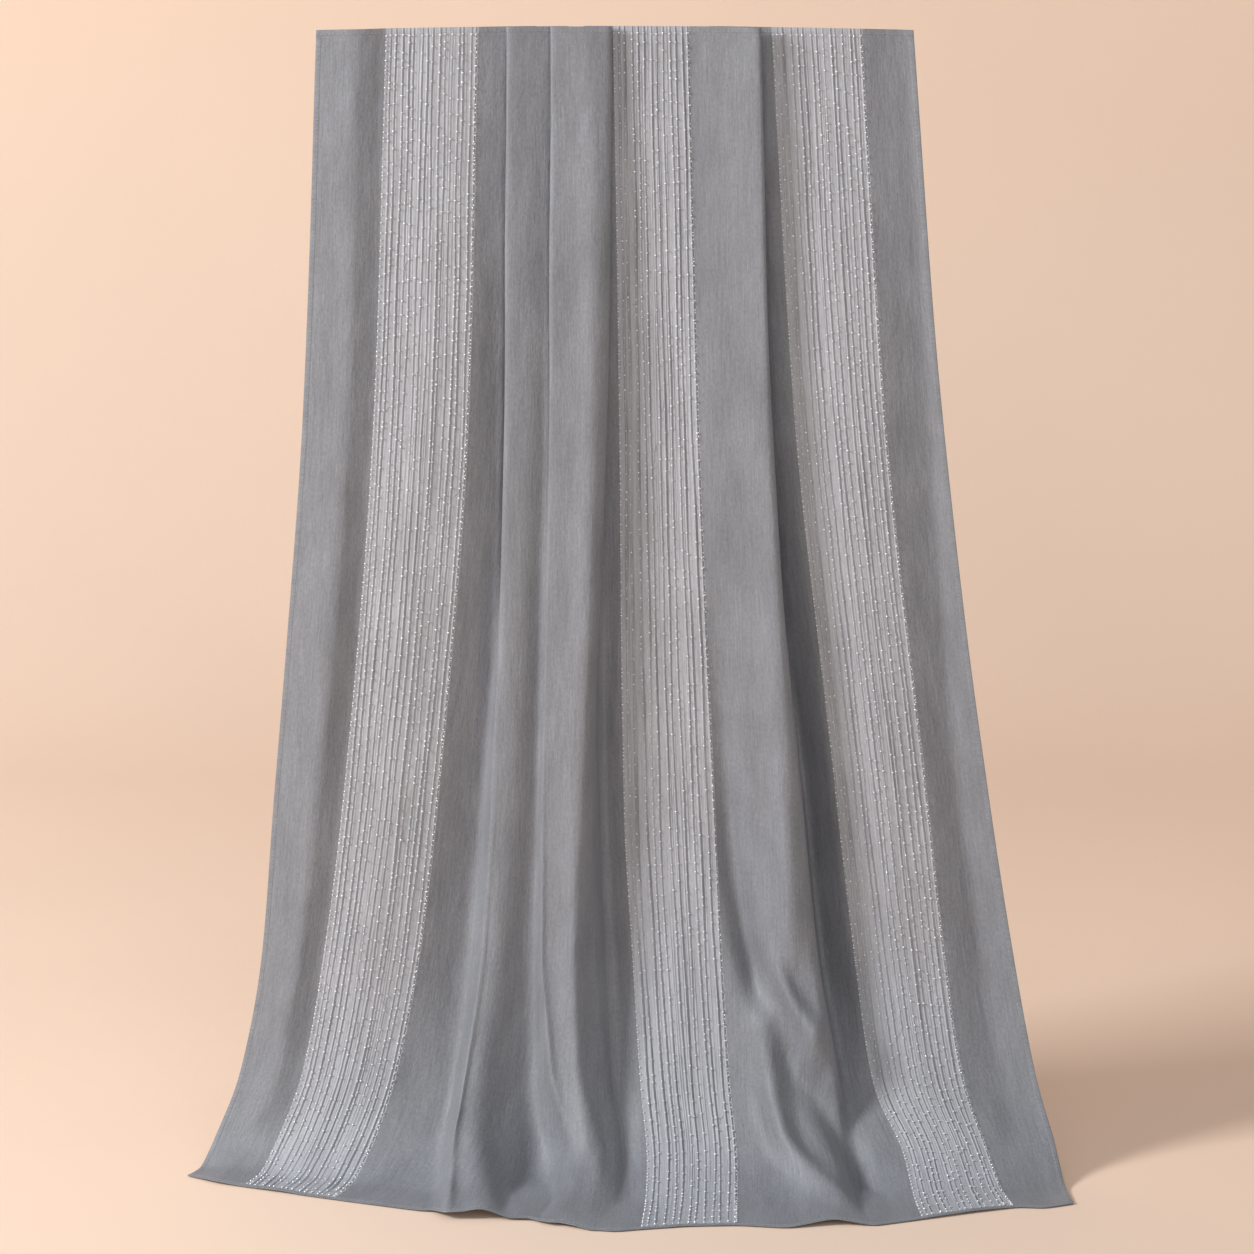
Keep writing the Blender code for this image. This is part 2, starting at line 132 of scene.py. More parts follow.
# How far each line stands proud of the path at the same stations.
Proud = namedtuple("Proud", "name top upper middle lower lean bend hem")
PROUD = (
    Proud("edge_left", 0, 0, 0, 1, 1, 1, 0),
    Proud("crown_1", 6, 9, 12, 12, 10, 4, 1),
    Proud("band_1_left", 1, 3, 5, 6, 7, 4, 0),
    Proud("band_1_mid", 2, 5, 7, 8, 8, 6, 1),
    Proud("band_1_right", 0, 1, 2, 3, 4, 3, 0),
    Proud("under_1", -4, -9, -10, -7, -3, -1, 0),
    Proud("fold_1", 3, 4, 4, 5, 10, 14, 5),
    Proud("under_2", 1, 2, 2, 0, -5, -9, 0),
    Proud("fold_2", 6, 8, 9, 10, 12, 9, 1.5),
    Proud("crown_2", 10, 12, 15, 15, 12, 10, 1.5),
    Proud("roll_2", 6, 6, 6, 5, 2, 2, 0),
    Proud("under_3", 0, -9, -17, -14, -9, -5, 0),
    Proud("band_2_left", -1, -6, -11, -8, -5, 0, 0),
    Proud("band_2_mid", 0, -3, -5, -2, 0, 1, 0),
    Proud("band_2_right", 0, 0, -2, 0, 1, 1, 0),
    Proud("flank_3", 5, 5, 6, 10, 8, 4, 0),
    Proud("fold_3", 9, 10, 13, 17, 19, 11, 3),
    Proud("under_4", -2, -20, -34, -31, -12, 0, 0),
    Proud("band_3_left", -2, -6, -10, -10, -7, 1, 0),
    Proud("band_3_mid", 0, -1, -2, -2, 0, 3, 1),
    Proud("band_3_right", 0, -2, -4, -4, -1, 1, 0),
    Proud("crease_4", -2, -6, -12, -11, -7, 0, 0),
    Proud("edge_right", 0, -2, -1, 0, 1, 1, 0),
)

# Soft ridges and troughs: each runs through places given across and down the cloth, with its
# rise at each of them.
Crease = namedtuple("Crease", "name half_width places")
Place = namedtuple("Place", "across down rise")
CREASES = (
    Crease("fold_1_crown", 14.0, (
        Place(-64, 20, 0), Place(-64, 150, 2), Place(-64, 300, 3.5), Place(-69, 450, 4),
        Place(-74, 560, 4), Place(-82, 640, 4), Place(-90, 715, 5), Place(-102, 800, 7),
        Place(-106, 860, 6), Place(-108, 915, 3))),
    Crease("fold_2_crown", 9.5, (
        Place(-12, 20, 0), Place(-12, 150, 3), Place(-14, 300, 5), Place(-17, 430, 7),
        Place(-22, 560, 8), Place(-27, 650, 8), Place(-29, 715, 8), Place(-27, 805, 8),
        Place(-21, 850, 7), Place(-16, 885, 3))),
    Crease("fold_1_edge", 2.6, (
        Place(-84, 60, 0), Place(-84, 280, 1), Place(-92, 590, 2), Place(-102, 715, 3),
        Place(-115, 805, 4), Place(-122, 860, 4), Place(-123, 915, 4), Place(-123, 968, 3))),
    Crease("fold_2_edge", 2.6, (
        Place(-49, 60, 0), Place(-49, 280, 1), Place(-55, 590, 2), Place(-56, 715, 3.5),
        Place(-48, 805, 4.5), Place(-36, 850, 3.5), Place(-28, 872, 0))),
    Crease("foot_ridge", 13.0, (
        Place(-106, 840, 1), Place(-101, 880, 6), Place(-98, 930, 8), Place(-98, 968, 6))),
    Crease("foot_valley", 13.0, (
        Place(-70, 790, 0), Place(-62, 850, -6), Place(-62, 910, -9), Place(-70, 960, -5))),
    Crease("foot_swell", 12.0, (Place(-32, 880, 0), Place(-34, 915, 4), Place(-40, 955, 4))),
    Crease("flank_trough", 10.0, (
        Place(80, 420, 0), Place(85, 560, -6), Place(91, 640, -11), Place(100, 690, -14),
        Place(107, 720, -15), Place(112, 742, -8), Place(116, 756, 0))),
    Crease("flank_crown", 11.0, (
        Place(114, 350, 0), Place(124, 520, 5), Place(130, 620, 10), Place(134, 680, 10),
        Place(137, 720, 2))),
    Crease("knee_ridge", 6.5, (
        Place(112, 680, 0), Place(121, 706, 6), Place(131, 732, 11), Place(142, 752, 13),
        Place(152, 766, 12))),
    Crease("knee_bump", 11.0, (Place(155, 770, 8), Place(151, 788, 10), Place(147, 802, 4))),
    Crease("long_trough", 12.0, (
        Place(118, 762, 0), Place(136, 790, -8), Place(162, 826, -17), Place(178, 861, -17),
        Place(190, 903, -12), Place(196, 935, -3))),
    Crease("second_ridge", 10.0, (
        Place(110, 750, 3), Place(117, 778, 9), Place(122, 826, 14), Place(130, 861, 14),
        Place(145, 890, 12), Place(158, 912, 9), Place(176, 940, 3))),
    Crease("left_corner", 5.0, (Place(-306, 918, 0), Place(-296, 922, 2), Place(-282, 921, 0))),
    Crease("top_right_corner", 4.0, (Place(212, 14, 0), Place(217, 24, 1.6), Place(221, 40, 0))),
)

# The walls across the cloth: node, last line, kind, flat width, columns, and tucks on a band.
Piece = namedtuple("Piece", "name last kind flat_width columns tucks")
PIECES = (
    Piece("panel_left", "band_1_left", "plain", 56.0, 44, 0),
    Piece("band_left", "band_1_right", "tucked", 72.0, 36, 15),
    Piece("panel_mid_left", "band_2_left", "plain", 205.0, 184, 0),
    Piece("band_centre", "band_2_right", "tucked", 72.0, 36, 12),
    Piece("panel_mid_right", "band_3_left", "plain", 145.0, 130, 0),
    Piece("band_right", "band_3_right", "tucked", 72.0, 36, 14),
    Piece("panel_right", "edge_right", "plain", 54.0, 42, 0),
)
PANELS = [piece for piece in PIECES if piece.kind == "plain"]
BANDS = [piece for piece in PIECES if piece.kind == "tucked"]
CUT_LENGTH = 974.0

# Lengths of the rows of faces down the cloth, closer where it bends.
ROWS = np.concatenate([np.linspace(0, 590, 60)[:-1], np.linspace(590, 974, 103)])

# How finely the surface is first laid out, and how far it is softened, in columns and rows.
COLUMNS_A_CORNER = 24
SOFT_ACROSS = 0.7
SOFT_DOWN = 2.0
BAND_SOFT = 4.0

# A tuck of a band: half widths of its narrow ridge and of the groove beside it, how far the
# ridge stands left of the groove, and how uneven its strength is.
BAND_COLUMNS = 208
RIDGE_HALF_WIDTH = 0.55
GROOVE_HALF_WIDTH = 0.55
RIDGE_OFFSET = 1.05
TUCK_STRENGTHS = (0.65, 1.15)
# How far the tucks sway across the band, and between which lengths each wave of it lies.
TUCK_SWAYS = ((0.45, 40, 90), (0.25, 15, 30))
LAST_TUCK_INSET = 1.0
LAST_TUCK_STRENGTH = 0.9
# How much stronger or weaker a band's tucks are than usual.
BAND_STRENGTH = {"band_left": 0.78, "band_centre": 1.25, "band_right": 0.95}

# The finer lines between the tucks, and what is left of the height at the two hems.
FINE_HALF_WIDTH = 0.42
FINE_SHARE = 0.5
FINE_LINES_A_TUCK = 2.2
FINE_MARGINS = (1.6, 2.4)
FINE_SHIFT = 0.7
TAPER_LENGTH = 8.0
TOP_TAPER_START = 2.0
LOW_TAPER_END = 4.0
TOP_TUCKS = 0.6
LOW_TUCKS = 0.3

# Hems: how far they lap over the walls, and the outline of the turned cloth.
HemRun = namedtuple("HemRun", "edge inward out tucked")
HEM_LAP = 0.6
HEM_SIDES = 12
HEM_ROUND_ALONG = 0.6
HEM_ROUND_OUT = 0.8
HEM_LOWEST = 0.05 - HANG_HEIGHT
STITCH_INSET = 0.7
STITCH_LIFT = 0.5
STITCH_MARGIN = 4.0

# Beads: closer along a band's edges, sparser along its ridges, and one near each end.
EDGE_BEAD_COLUMNS = (2.0, BAND_COLUMNS - 3.0)
EDGE_BEADS = 0.5
RIDGE_BEADS = (0.8, 1.5)
BEAD_STEPS = (0.4, 1.6)
FIRST_BEAD = (0.8, 1.8)
END_BEAD_GAP = 2.0
LAST_BEAD = (0.3, 1.2)
BEAD_SIZES = (0.75, 1.15)
BEAD_LIFT = 0.85
BEAD_SEGMENTS = 6
BEAD_RINGS = 4

# Loose threads, in millimetres and radians.
THREADS_A_BAND = 34
THREAD_POINTS = (7, 16)
THREAD_STEPS = (0.9, 1.6)
THREAD_START_TURN = 1.2
THREAD_TURN = 0.55
THREAD_ALONG_SHARE = 0.4
THREAD_START_MARGIN = 6.0
THREAD_MARGIN = 3.0
THREAD_START_ROWS = (12, 950)
THREAD_ROWS = (9, 955)
THREAD_LIFT = 0.55
THREAD_SIDES = 5
THREAD_END_SHARE = 0.4
LOOSE_THREAD_SHARE = 1.4


def eased(knots, values, at):
    """Values at the given places on a smooth curve that never overshoots its knots."""
    knots = np.asarray(knots, float)
    values = np.asarray(values, float)
    at = np.clip(at, knots[0], knots[-1])
    steps = np.diff(knots)
    slopes = np.diff(values) / steps
    ends = np.zeros(len(knots))
    ends[0], ends[-1] = slopes[0], slopes[-1]
    same_way = slopes[:-1] * slopes[1:] > 0
    before, after = 2 * steps[1:] + steps[:-1], steps[1:] + 2 * steps[:-1]
    safe_1 = np.where(same_way, slopes[:-1], 1.0)
    safe_2 = np.where(same_way, slopes[1:], 1.0)
    ends[1:-1] = np.where(same_way, (before + after) / (before / safe_1 + after / safe_2), 0.0)
    k = np.clip(np.searchsorted(knots, at, side="right") - 1, 0, len(steps) - 1)
    h, t = steps[k], (at - knots[k]) / steps[k]
    return (
        values[k] * (1 + 2 * t) * (1 - t) ** 2
        + ends[k] * h * t * (1 - t) ** 2
        + values[k + 1] * t**2 * (3 - 2 * t)
        - ends[k + 1] * h * t**2 * (1 - t)
    )


def path_at(down):
    """Drop, reach and the path's outward direction (forward share, upward share)."""
    lengths = [row.length for row in PATH]
    drops = [row.drop for row in PATH]
    reaches = [row.reach for row in PATH]
    drop, reach = eased(lengths, drops, down), eased(lengths, reaches, down)
    step = 4.0
    low, high = np.maximum(down - step, 0), np.minimum(down + step, lengths[-1])
    fall = eased(lengths, drops, high) - eased(lengths, drops, low)
    run = (eased(lengths, reaches, high) - eased(lengths, reaches, low)) * NOMINAL_RUN
    size = np.hypot(fall, run)
    return drop, reach, fall / size, run / size


def crease_rise(across, down):
    """Height of the soft ridges and troughs at a place on the cloth."""
    total = np.zeros(np.broadcast(across, down).shape)
    for crease in CREASES:
        nearest = np.full(total.shape, np.inf)
        rise = np.zeros(total.shape)
        for a, b in zip(crease.places, crease.places[1:]):
            along_x, along_v = b.across - a.across, b.down - a.down
            share = (across - a.across) * along_x + (down - a.down) * along_v
            share = np.clip(share / (along_x**2 + along_v**2), 0, 1)
            off_x = across - a.across - share * along_x
            off_v = down - a.down - share * along_v
            distance = off_x**2 + off_v**2
            rise = np.where(distance < nearest, a.rise + (b.rise - a.rise) * share, rise)
            nearest = np.minimum(nearest, distance)
        total += rise * np.exp(-nearest / crease.half_width**2)
    return total


def corners_at(down):
    """Corners of each section (across, proud, run), with two corners where the cloth turns."""
    flat = [eased(STATIONS, row[3:], down) for row in ACROSS]
    proud = [eased(STATIONS, row[1:], down) for row in PROUD]
    run = [np.full(len(down), float(row.run)) for row in ACROSS]
    points = np.stack([np.array(flat), np.array(proud), np.array(run)], axis=-1)
    opening = eased((0.0, TURN_OPEN_LENGTH, STATIONS[-1]), (TURN_TOP, TURN_LOW, TURN_LOW), down)
    corners = []
    for k, line in enumerate(ACROSS):
        if not line.turn:
            corners.append(points[k])
            continue
        back = points[k - 1, :, :2] - points[k, :, :2]
        ahead = points[k + 1, :, :2] - points[k, :, :2]
        back /= np.linalg.norm(back, axis=1)[:, None]
        ahead /= np.linalg.norm(ahead, axis=1)[:, None]
        way = ahead - back
        way /= np.linalg.norm(way, axis=1)[:, None]
        offset = np.zeros_like(points[k])
        offset[:, :2] = way * opening[:, None] / 2
        corners += [points[k] - offset, points[k] + offset]
    return np.array(corners)


def corner_index():
    """The place of each line among the corners: a turning line has its middle between two."""
    places, count = {}, 0
    for line in ACROSS:
        places[line.name] = count + 0.5 if line.turn else float(count)
        count += 2 if line.turn else 1
    return places


def section_points(corners, u):
    """Points on the rounded path through the corners, at each place u."""
    last = len(corners) - 1
    k = np.clip(np.floor(u + 0.5).astype(int), 0, last)
    before, at, after = corners[np.maximum(k - 1, 0)], corners[k], corners[np.minimum(k + 1, last)]
    offset = (u - k)[:, None]
    ends = []
    for other in (before, after):
        leg = np.maximum(np.linalg.norm((other - at)[..., :2], axis=-1), 1e-6)
        share = np.clip(ROUND_LENGTH / leg, ROUND_LEAST, ROUND_MOST)
        ends.append(at + (other - at) * share[..., None])
    start, end = ends
    t = np.clip((offset + ROUND_U) / (2 * ROUND_U), 0, 1)[..., None]
    bend = start * (1 - t) ** 2 + at * 2 * t * (1 - t) + end * t**2
    straight = 0.5 - ROUND_U
    left = np.clip((-offset - ROUND_U) / straight, 0, 1)[..., None]
    right = np.clip((offset - ROUND_U) / straight, 0, 1)[..., None]
    return bend + ((before + at) / 2 - start) * left + ((after + at) / 2 - end) * right


def cloth_points(u, down):
    """The cloth's middle surface in millimetres: a row for each u, a column for each length."""
    section = section_points(corners_at(down), u)
    drop, reach, forward, upward = path_at(down)
    across, run = section[..., 0], section[..., 2]
    proud = section[..., 1] + crease_rise(across, down[None, :])
    sag = TOP_SAG * (across / HALF_TOP_WIDTH) ** 2 * np.clip(1 - down / TURN_OPEN_LENGTH, 0, 1)
    y = -(run * reach + proud * forward)
    z = -drop - sag + proud * upward
    return np.stack([across, y, np.maximum(z, LOWEST)], axis=-1)


def smoothed(grid, axis, spread):
    """The grid softened along one axis, with its two ends kept in place."""
    reach = int(math.ceil(3 * spread))
    weights = np.exp(-0.5 * (np.arange(-reach, reach + 1) / spread) ** 2)
    weights /= weights.sum()
    grid = np.moveaxis(grid, axis, 0)
    before = 2 * grid[:1] - grid[reach:0:-1]
    after = 2 * grid[-1:] - grid[-2 : -reach - 2 : -1]
    padded = np.concatenate([before, grid, after])
    soft = sum(w * padded[k : k + len(grid)] for k, w in enumerate(weights))
    return np.moveaxis(soft, 0, axis)


def unit(vectors):
    return vectors / np.linalg.norm(vectors, axis=-1)[..., None]


def lengths_along(line):
    """Distance along a line of points to each of them."""
    steps = np.linalg.norm(np.diff(line, axis=0), axis=-1)
    return np.concatenate([[0.0], np.cumsum(steps)])


def normals_of(grid):
    """Outward directions of a grid of points."""
    across = np.gradient(grid, axis=0)
    along = np.gradient(grid, axis=1)
    return unit(np.cross(along, across))


@functools.lru_cache(maxsize=1)
def whole_cloth():
    """The softened middle surface of the whole cloth, and each wall's first and last column."""
    places = corner_index()
    count = int(places["edge_right"]) * COLUMNS_A_CORNER + 1
    u = np.linspace(0, places["edge_right"], count)
    dense = cloth_points(u, ROWS)
    columns, spans, first = [dense[:1]], {}, 0
    for piece in PIECES:
        last = int(places[piece.last]) * COLUMNS_A_CORNER
        part = dense[first : last + 1]
        steps = np.linalg.norm(np.diff(part, axis=0), axis=-1)
        length = np.concatenate([np.zeros((1, len(ROWS))), np.cumsum(steps, axis=0)])
        even = np.empty((piece.columns, len(ROWS), 3))
        for j in range(len(ROWS)):
            wanted = np.linspace(0, length[-1, j], piece.columns + 1)[1:]
            for axis in range(3):
                even[:, j, axis] = np.interp(wanted, length[:, j], part[:, j, axis])
        start = sum(len(c) for c in columns) - 1
        columns.append(even)
        spans[piece.name] = (start, start + piece.columns)
        first = last
    grid = np.concatenate(columns)
    grid = smoothed(smoothed(grid, 0, SOFT_ACROSS), 1, SOFT_DOWN)
    grid[..., 2] = np.maximum(grid[..., 2], LOWEST)
    return grid, spans


def flat_places(piece, columns):
    """Places across the flat cloth of a wall's columns, in millimetres."""
    before = PIECES[: PIECES.index(piece)]
    start = sum(other.flat_width for other in before)
    return start + np.linspace(0, 1, columns) * piece.flat_width


def drape(across, down):
    """Small soft waves that hanging cloth keeps, as a height in millimetres."""
    wave = 0.42 * np.sin(across / 17.0 + 1.7 * np.sin(down / 210.0) + 0.4)
    wave += 0.3 * np.sin(across / 9.5 - down / 170.0 + 2.1)
    wave += 0.35 * np.sin(down / 61.0 + across / 48.0)
    wave += 0.25 * np.sin(down / 33.0 - across / 37.0 + 1.0)
    return wave


def lifted(grid, height):
    """The grid moved out by a height along its own outward directions, kept off the floor."""
    moved = grid + normals_of(grid) * height[..., None]
    moved[..., 2] = np.maximum(moved[..., 2], LOWEST)
    return moved


def moved_in(points, distances, axis):
    """The same grid with its first and last line moved inwards along the cloth."""
    points = np.moveaxis(points.copy(), axis, 0)
    for edge, inner, distance in ((0, 2, distances[0]), (-1, -3, distances[1])):
        points[edge] += unit(points[inner] - points[edge]) * distance
    if distances[0] > 0:
        points[1] = (points[0] + points[2]) / 2
    if distances[1] > 0:
        points[-2] = (points[-1] + points[-3]) / 2
    return np.moveaxis(points, 0, axis)


def make_mesh(name, points, faces, uvs=None):
    """A mesh in metres from points in millimetres, with the flat cloth's places as its UV."""
    mesh = bpy.data.meshes.new(name)
    mesh.from_pydata((points * MM).tolist(), [], faces)
    if uvs is not None:
        layer = mesh.uv_layers.new(name=CLOTH_UV)
        corner = np.empty(len(mesh.loops), np.int32)
        mesh.loops.foreach_get("vertex_index", corner)
        layer.uv.foreach_set("vector", (uvs[corner] * MM).astype(np.float32).ravel())
    mesh.update()
    mesh.shade_smooth()
    return mesh


def shell_mesh(name, grid, across, down, thickness, normals=None):
    """A closed thin wall on a grid: across and down are the flat cloth's places of its lines."""
    normals = normals_of(grid) if normals is None else normals
    front, back = grid + normals * thickness / 2, grid - normals * thickness / 2
    nu, nv = grid.shape[:2]
    count = nu * nv
    index = np.arange(count).reshape(nu, nv)
    a, b, c, d = index[:-1, :-1], index[:-1, 1:], index[1:, 1:], index[1:, :-1]
    outer = np.stack([a, b, c, d], axis=-1).reshape(-1, 4)
    inner = np.stack([a, d, c, b], axis=-1).reshape(-1, 4) + count
    rims = []
    for line, turn in ((index[0], 1), (index[-1], -1), (index[:, 0], -1), (index[:, -1], 1)):
        quad = np.stack([line[:-1], line[:-1] + count, line[1:] + count, line[1:]], axis=-1)
        rims.append(quad[:, ::turn])
    points = np.concatenate([front.reshape(-1, 3), back.reshape(-1, 3)])
    flat = np.stack(np.broadcast_arrays(across[:, None], down[None, :]), axis=-1).reshape(-1, 2)
    faces = np.concatenate([outer, inner, *rims])
    mesh = make_mesh(name, points, faces.tolist(), np.concatenate([flat, flat]))
    mesh.set_sharp_from_angle(angle=math.radians(80))
    return mesh


def add_piece(name, mesh, material, replaced=()):
    """Links a finished mesh, gives it its finish and ties it to the frame."""
    obj = bpy.data.objects.new(name, mesh)
    bpy.context.scene.collection.objects.link(obj)
    mesh.materials.clear()
    mesh.materials.append(material)
    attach(obj, BODY)
    if replaced:
        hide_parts(*replaced)
    return obj


def wall_grid(piece):
    """A wall's softened grid between the hems, with the small waves on it."""
    grid, spans = whole_cloth()
    first, last = spans[piece.name]
    moved = lifted(grid, drape(grid[..., 0], ROWS[None, :]))
    part = moved[first : last + 1]
    hem = bpy.context.scene.headscarf_cloth.hem_width / MM
    sides = (hem if first == 0 else 0.0, hem if last == len(grid) - 1 else 0.0)
    return moved_in(moved_in(part, sides, 0), (hem, hem), 1)


def tuck_edges(piece):
    """Shares across a band where its tucks begin, uneven as the real ones are."""
    k = np.arange(piece.tucks + 1)
    inner = (k > 0) & (k < piece.tucks)
    return (k + PLEAT_UNEVEN * np.sin(2.3 * k) * inner) / piece.tucks


def soft_line(distance, half_width):
    return np.exp(-((distance / half_width) ** 2))


def tuck_lines(piece):
    """A band's tucks and finer lines as places across, by length, with their strengths."""
    random = np.random.default_rng(40 + piece.tucks)
    width = piece.flat_width

    def wave(low, high):
        return np.sin(ROWS / random.uniform(low, high) + random.uniform(0, 2 * math.pi))

    tucks, fine = [], []
    for edge in tuck_edges(piece)[1:-1] * width:
        place = edge + sum(sway * wave(low, high) for sway, low, high in TUCK_SWAYS)
        tucks.append((place, random.uniform(*TUCK_STRENGTHS) * (1 + 0.3 * wave(25, 70))))
    last_place = np.full(len(ROWS), width - LAST_TUCK_INSET)
    tucks.append((last_place, np.full(len(ROWS), LAST_TUCK_STRENGTH)))
    first, last = FINE_MARGINS
    places = np.linspace(first, width - last, int(FINE_LINES_A_TUCK * piece.tucks))
    for place in places + random.uniform(-FINE_SHIFT, FINE_SHIFT, len(places)):
        seen = np.clip(0.45 + 0.9 * wave(30, 120) + 0.35 * wave(10, 25), 0, 1)
        middle = soft_line(place - width * 0.55, width * 0.3)
        fine.append((place + 0.3 * wave(30, 80), seen * (0.55 + 0.6 * middle)))
    return tucks, fine


def tuck_height(piece, across):
    """Height of a band's tucks and finer lines, in millimetres."""
    height = np.zeros((len(across), len(ROWS)))
    tucks, lines = tuck_lines(piece)
    for place, strength in tucks:
        ridge = soft_line(across - place + RIDGE_OFFSET, RIDGE_HALF_WIDTH)
        groove = soft_line(across - place, GROOVE_HALF_WIDTH)
        height += strength * (ridge - groove)
    for place, strength in lines:
        height += FINE_SHARE * strength * soft_line(across - place, FINE_HALF_WIDTH)
    rise = bpy.context.scene.headscarf_cloth.tuck_rise / MM
    return height * rise * BAND_STRENGTH[piece.name]


@functools.lru_cache(maxsize=3)
def band_grid(name):
    """A band's tucked surface, its outward ways, and the columns of its ridges."""
    piece = next(band for band in BANDS if band.name == name)
    base = wall_grid(piece)
    shares = np.linspace(0, 1, BAND_COLUMNS + 1)
    columns = np.linspace(0, 1, len(base))
    fine = np.empty((len(shares), len(ROWS), 3))
    for j in range(len(ROWS)):
        for axis in range(3):
            fine[:, j, axis] = np.interp(shares, columns, base[:, j, axis])
    height = tuck_height(piece, (shares * piece.flat_width)[:, None])
    top_taper = np.clip((ROWS - TOP_TAPER_START) / TAPER_LENGTH, TOP_TUCKS, 1)
    low_taper = np.clip((CUT_LENGTH - LOW_TAPER_END - ROWS) / TAPER_LENGTH, LOW_TUCKS, 1)
    normals = normals_of(smoothed(fine, 0, BAND_SOFT))
    fine = fine + normals * (height * (top_taper * low_taper))[..., None]
    fine[..., 2] = np.maximum(fine[..., 2], LOWEST)
    tucks, _ = tuck_lines(piece)
    ridges = [(place - RIDGE_OFFSET) / piece.flat_width * BAND_COLUMNS for place, _ in tucks]
    return fine, normals, ridges


def set_inputs(made, **values):
    """Sets a node's inputs by name, with underscores for spaces."""
    for key, value in values.items():
        made.inputs[key.replace("_", " ")].default_value = value


def node(tree, kind, **settings):
    """A node with its settings, which are the node's own or those of its inputs."""
    made = tree.nodes.new(kind)
    for key, value in settings.items():
        if hasattr(made, key):
            setattr(made, key, value)
        else:
            set_inputs(made, **{key: value})
    return made


def link(tree, source, target):
    tree.links.new(source, target)


def stretched_noise(tree, coords, scale_across, scale_down, detail=2.0, roughness=0.5):
    """Noise on the flat cloth's own places, stretched along the threads."""
    mapping = node(tree, "ShaderNodeMapping", Scale=(scale_across, scale_down, 1.0))
    link(tree, coords, mapping.inputs["Vector"])
    noise = node(tree, "ShaderNodeTexNoise", Scale=1.0, Detail=detail, Roughness=roughness)
    link(tree, mapping.outputs["Vector"], noise.inputs["Vector"])
    return noise.outputs["Fac"]


def ranged(tree, value, low, high):
    made = node(tree, "ShaderNodeMapRange", To_Min=low, To_Max=high)
    link(tree, value, made.inputs["Value"])
    return made.outputs["Result"]


def multiplied(tree, first, second):
    made = node(tree, "ShaderNodeMath", operation="MULTIPLY")
    link(tree, first, made.inputs[0])
    link(tree, second, made.inputs[1])
    return made.outputs["Value"]


def bumped(tree, height, distance, strength, before=None):
    made = node(tree, "ShaderNodeBump", Strength=strength, Distance=distance)
    link(tree, height, made.inputs["Height"])
    if before is not None:
        link(tree, before, made.inputs["Normal"])
    return made.outputs["Normal"]


def new_material(name):
    """A material with its node tree and shader."""
    material = bpy.data.materials.new(name)
    material.use_nodes = True
    return material, material.node_tree, material.node_tree.nodes["Principled BSDF"]


def toned(tree, shader, colour, tone):
    """Gives the shader a colour that is lighter or darker with the tone."""
    scale = node(tree, "ShaderNodeVectorMath", operation="SCALE")
    scale.inputs[0].default_value = colour[:3]
    link(tree, tone, scale.inputs["Scale"])
    link(tree, scale.outputs["Vector"], shader.inputs["Base Color"])


def object_noise(tree, scale, detail):
    """Noise on the object's own places, in metres."""
    noise = node(tree, "ShaderNodeTexNoise", Scale=scale, Detail=detail)
    place = node(tree, "ShaderNodeTexCoord").outputs["Object"]
    link(tree, place, noise.inputs["Vector"])
    return noise.outputs["Fac"]


# A weave's share of streaks, crinkle, mottle, grain and sheen; then the noises that make them:
# scale across and down the cloth, detail and roughness; and the height of each in metres.
Weave = namedtuple("Weave", "streaks crinkle mottle grain sheen")
PLAIN_WEAVE = Weave(0.26, 0.34, 0.3, 0.6, 0.18)
TUCKED_WEAVE = Weave(0.34, 0.26, 0.2, 0.5, 0.22)
WEAVE_NOISE = {
    "warp": (900.0, 22.0, 3.0, 0.6),
    "fine_warp": (2600.0, 90.0, 2.0, 0.5),
    "crepe": (520.0, 330.0, 4.0, 0.7),
    "clouds": (38.0, 14.0, 4.0, 0.6),
}
WEAVE_HEIGHTS = {"warp": 0.0003, "fine_warp": 0.00012, "crepe": 0.0005, "clouds": 0.0035}
FINE_STREAK_SHARE = 0.6


def cloth_material(name, colour, weave):
    """Crepe: fine warp streaks, a small crinkled grain, a soft mottle and a low satin sheen."""
    material, tree, shader = new_material(name)
    uv = node(tree, "ShaderNodeUVMap", uv_map=CLOTH_UV).outputs["UV"]
    noise = {key: stretched_noise(tree, uv, *sizes) for key, sizes in WEAVE_NOISE.items()}
    shares = {
        "warp": weave.streaks,
        "crepe": weave.crinkle,
        "clouds": weave.mottle,
        "fine_warp": weave.streaks * FINE_STREAK_SHARE,
    }
    parts = [ranged(tree, noise[key], 1 - share, 1 + share) for key, share in shares.items()]
    toned(tree, shader, colour, functools.reduce(functools.partial(multiplied, tree), parts))
    link(tree, ranged(tree, noise["fine_warp"], 0.44, 0.6), shader.inputs["Roughness"])
    set_inputs(shader, Specular_IOR_Level=0.42, Sheen_Weight=weave.sheen)
    set_inputs(shader, Sheen_Roughness=0.38, Sheen_Tint=(0.88, 0.89, 0.93, 1.0))
    normal = None
    for key, height in WEAVE_HEIGHTS.items():
        normal = bumped(tree, noise[key], height, weave.grain, normal)
    link(tree, normal, shader.inputs["Normal"])
    return material


def bead_material(colour):
    """Silver-lined glass beads."""
    material, tree, shader = new_material("silver_bead")
    noise = object_noise(tree, 420.0, 1.0)
    toned(tree, shader, colour, ranged(tree, noise, 0.75, 1.15))
    link(tree, ranged(tree, noise, 0.18, 0.34), shader.inputs["Roughness"])
    set_inputs(shader, Metallic=0.3, Coat_Weight=0.4)
    return material


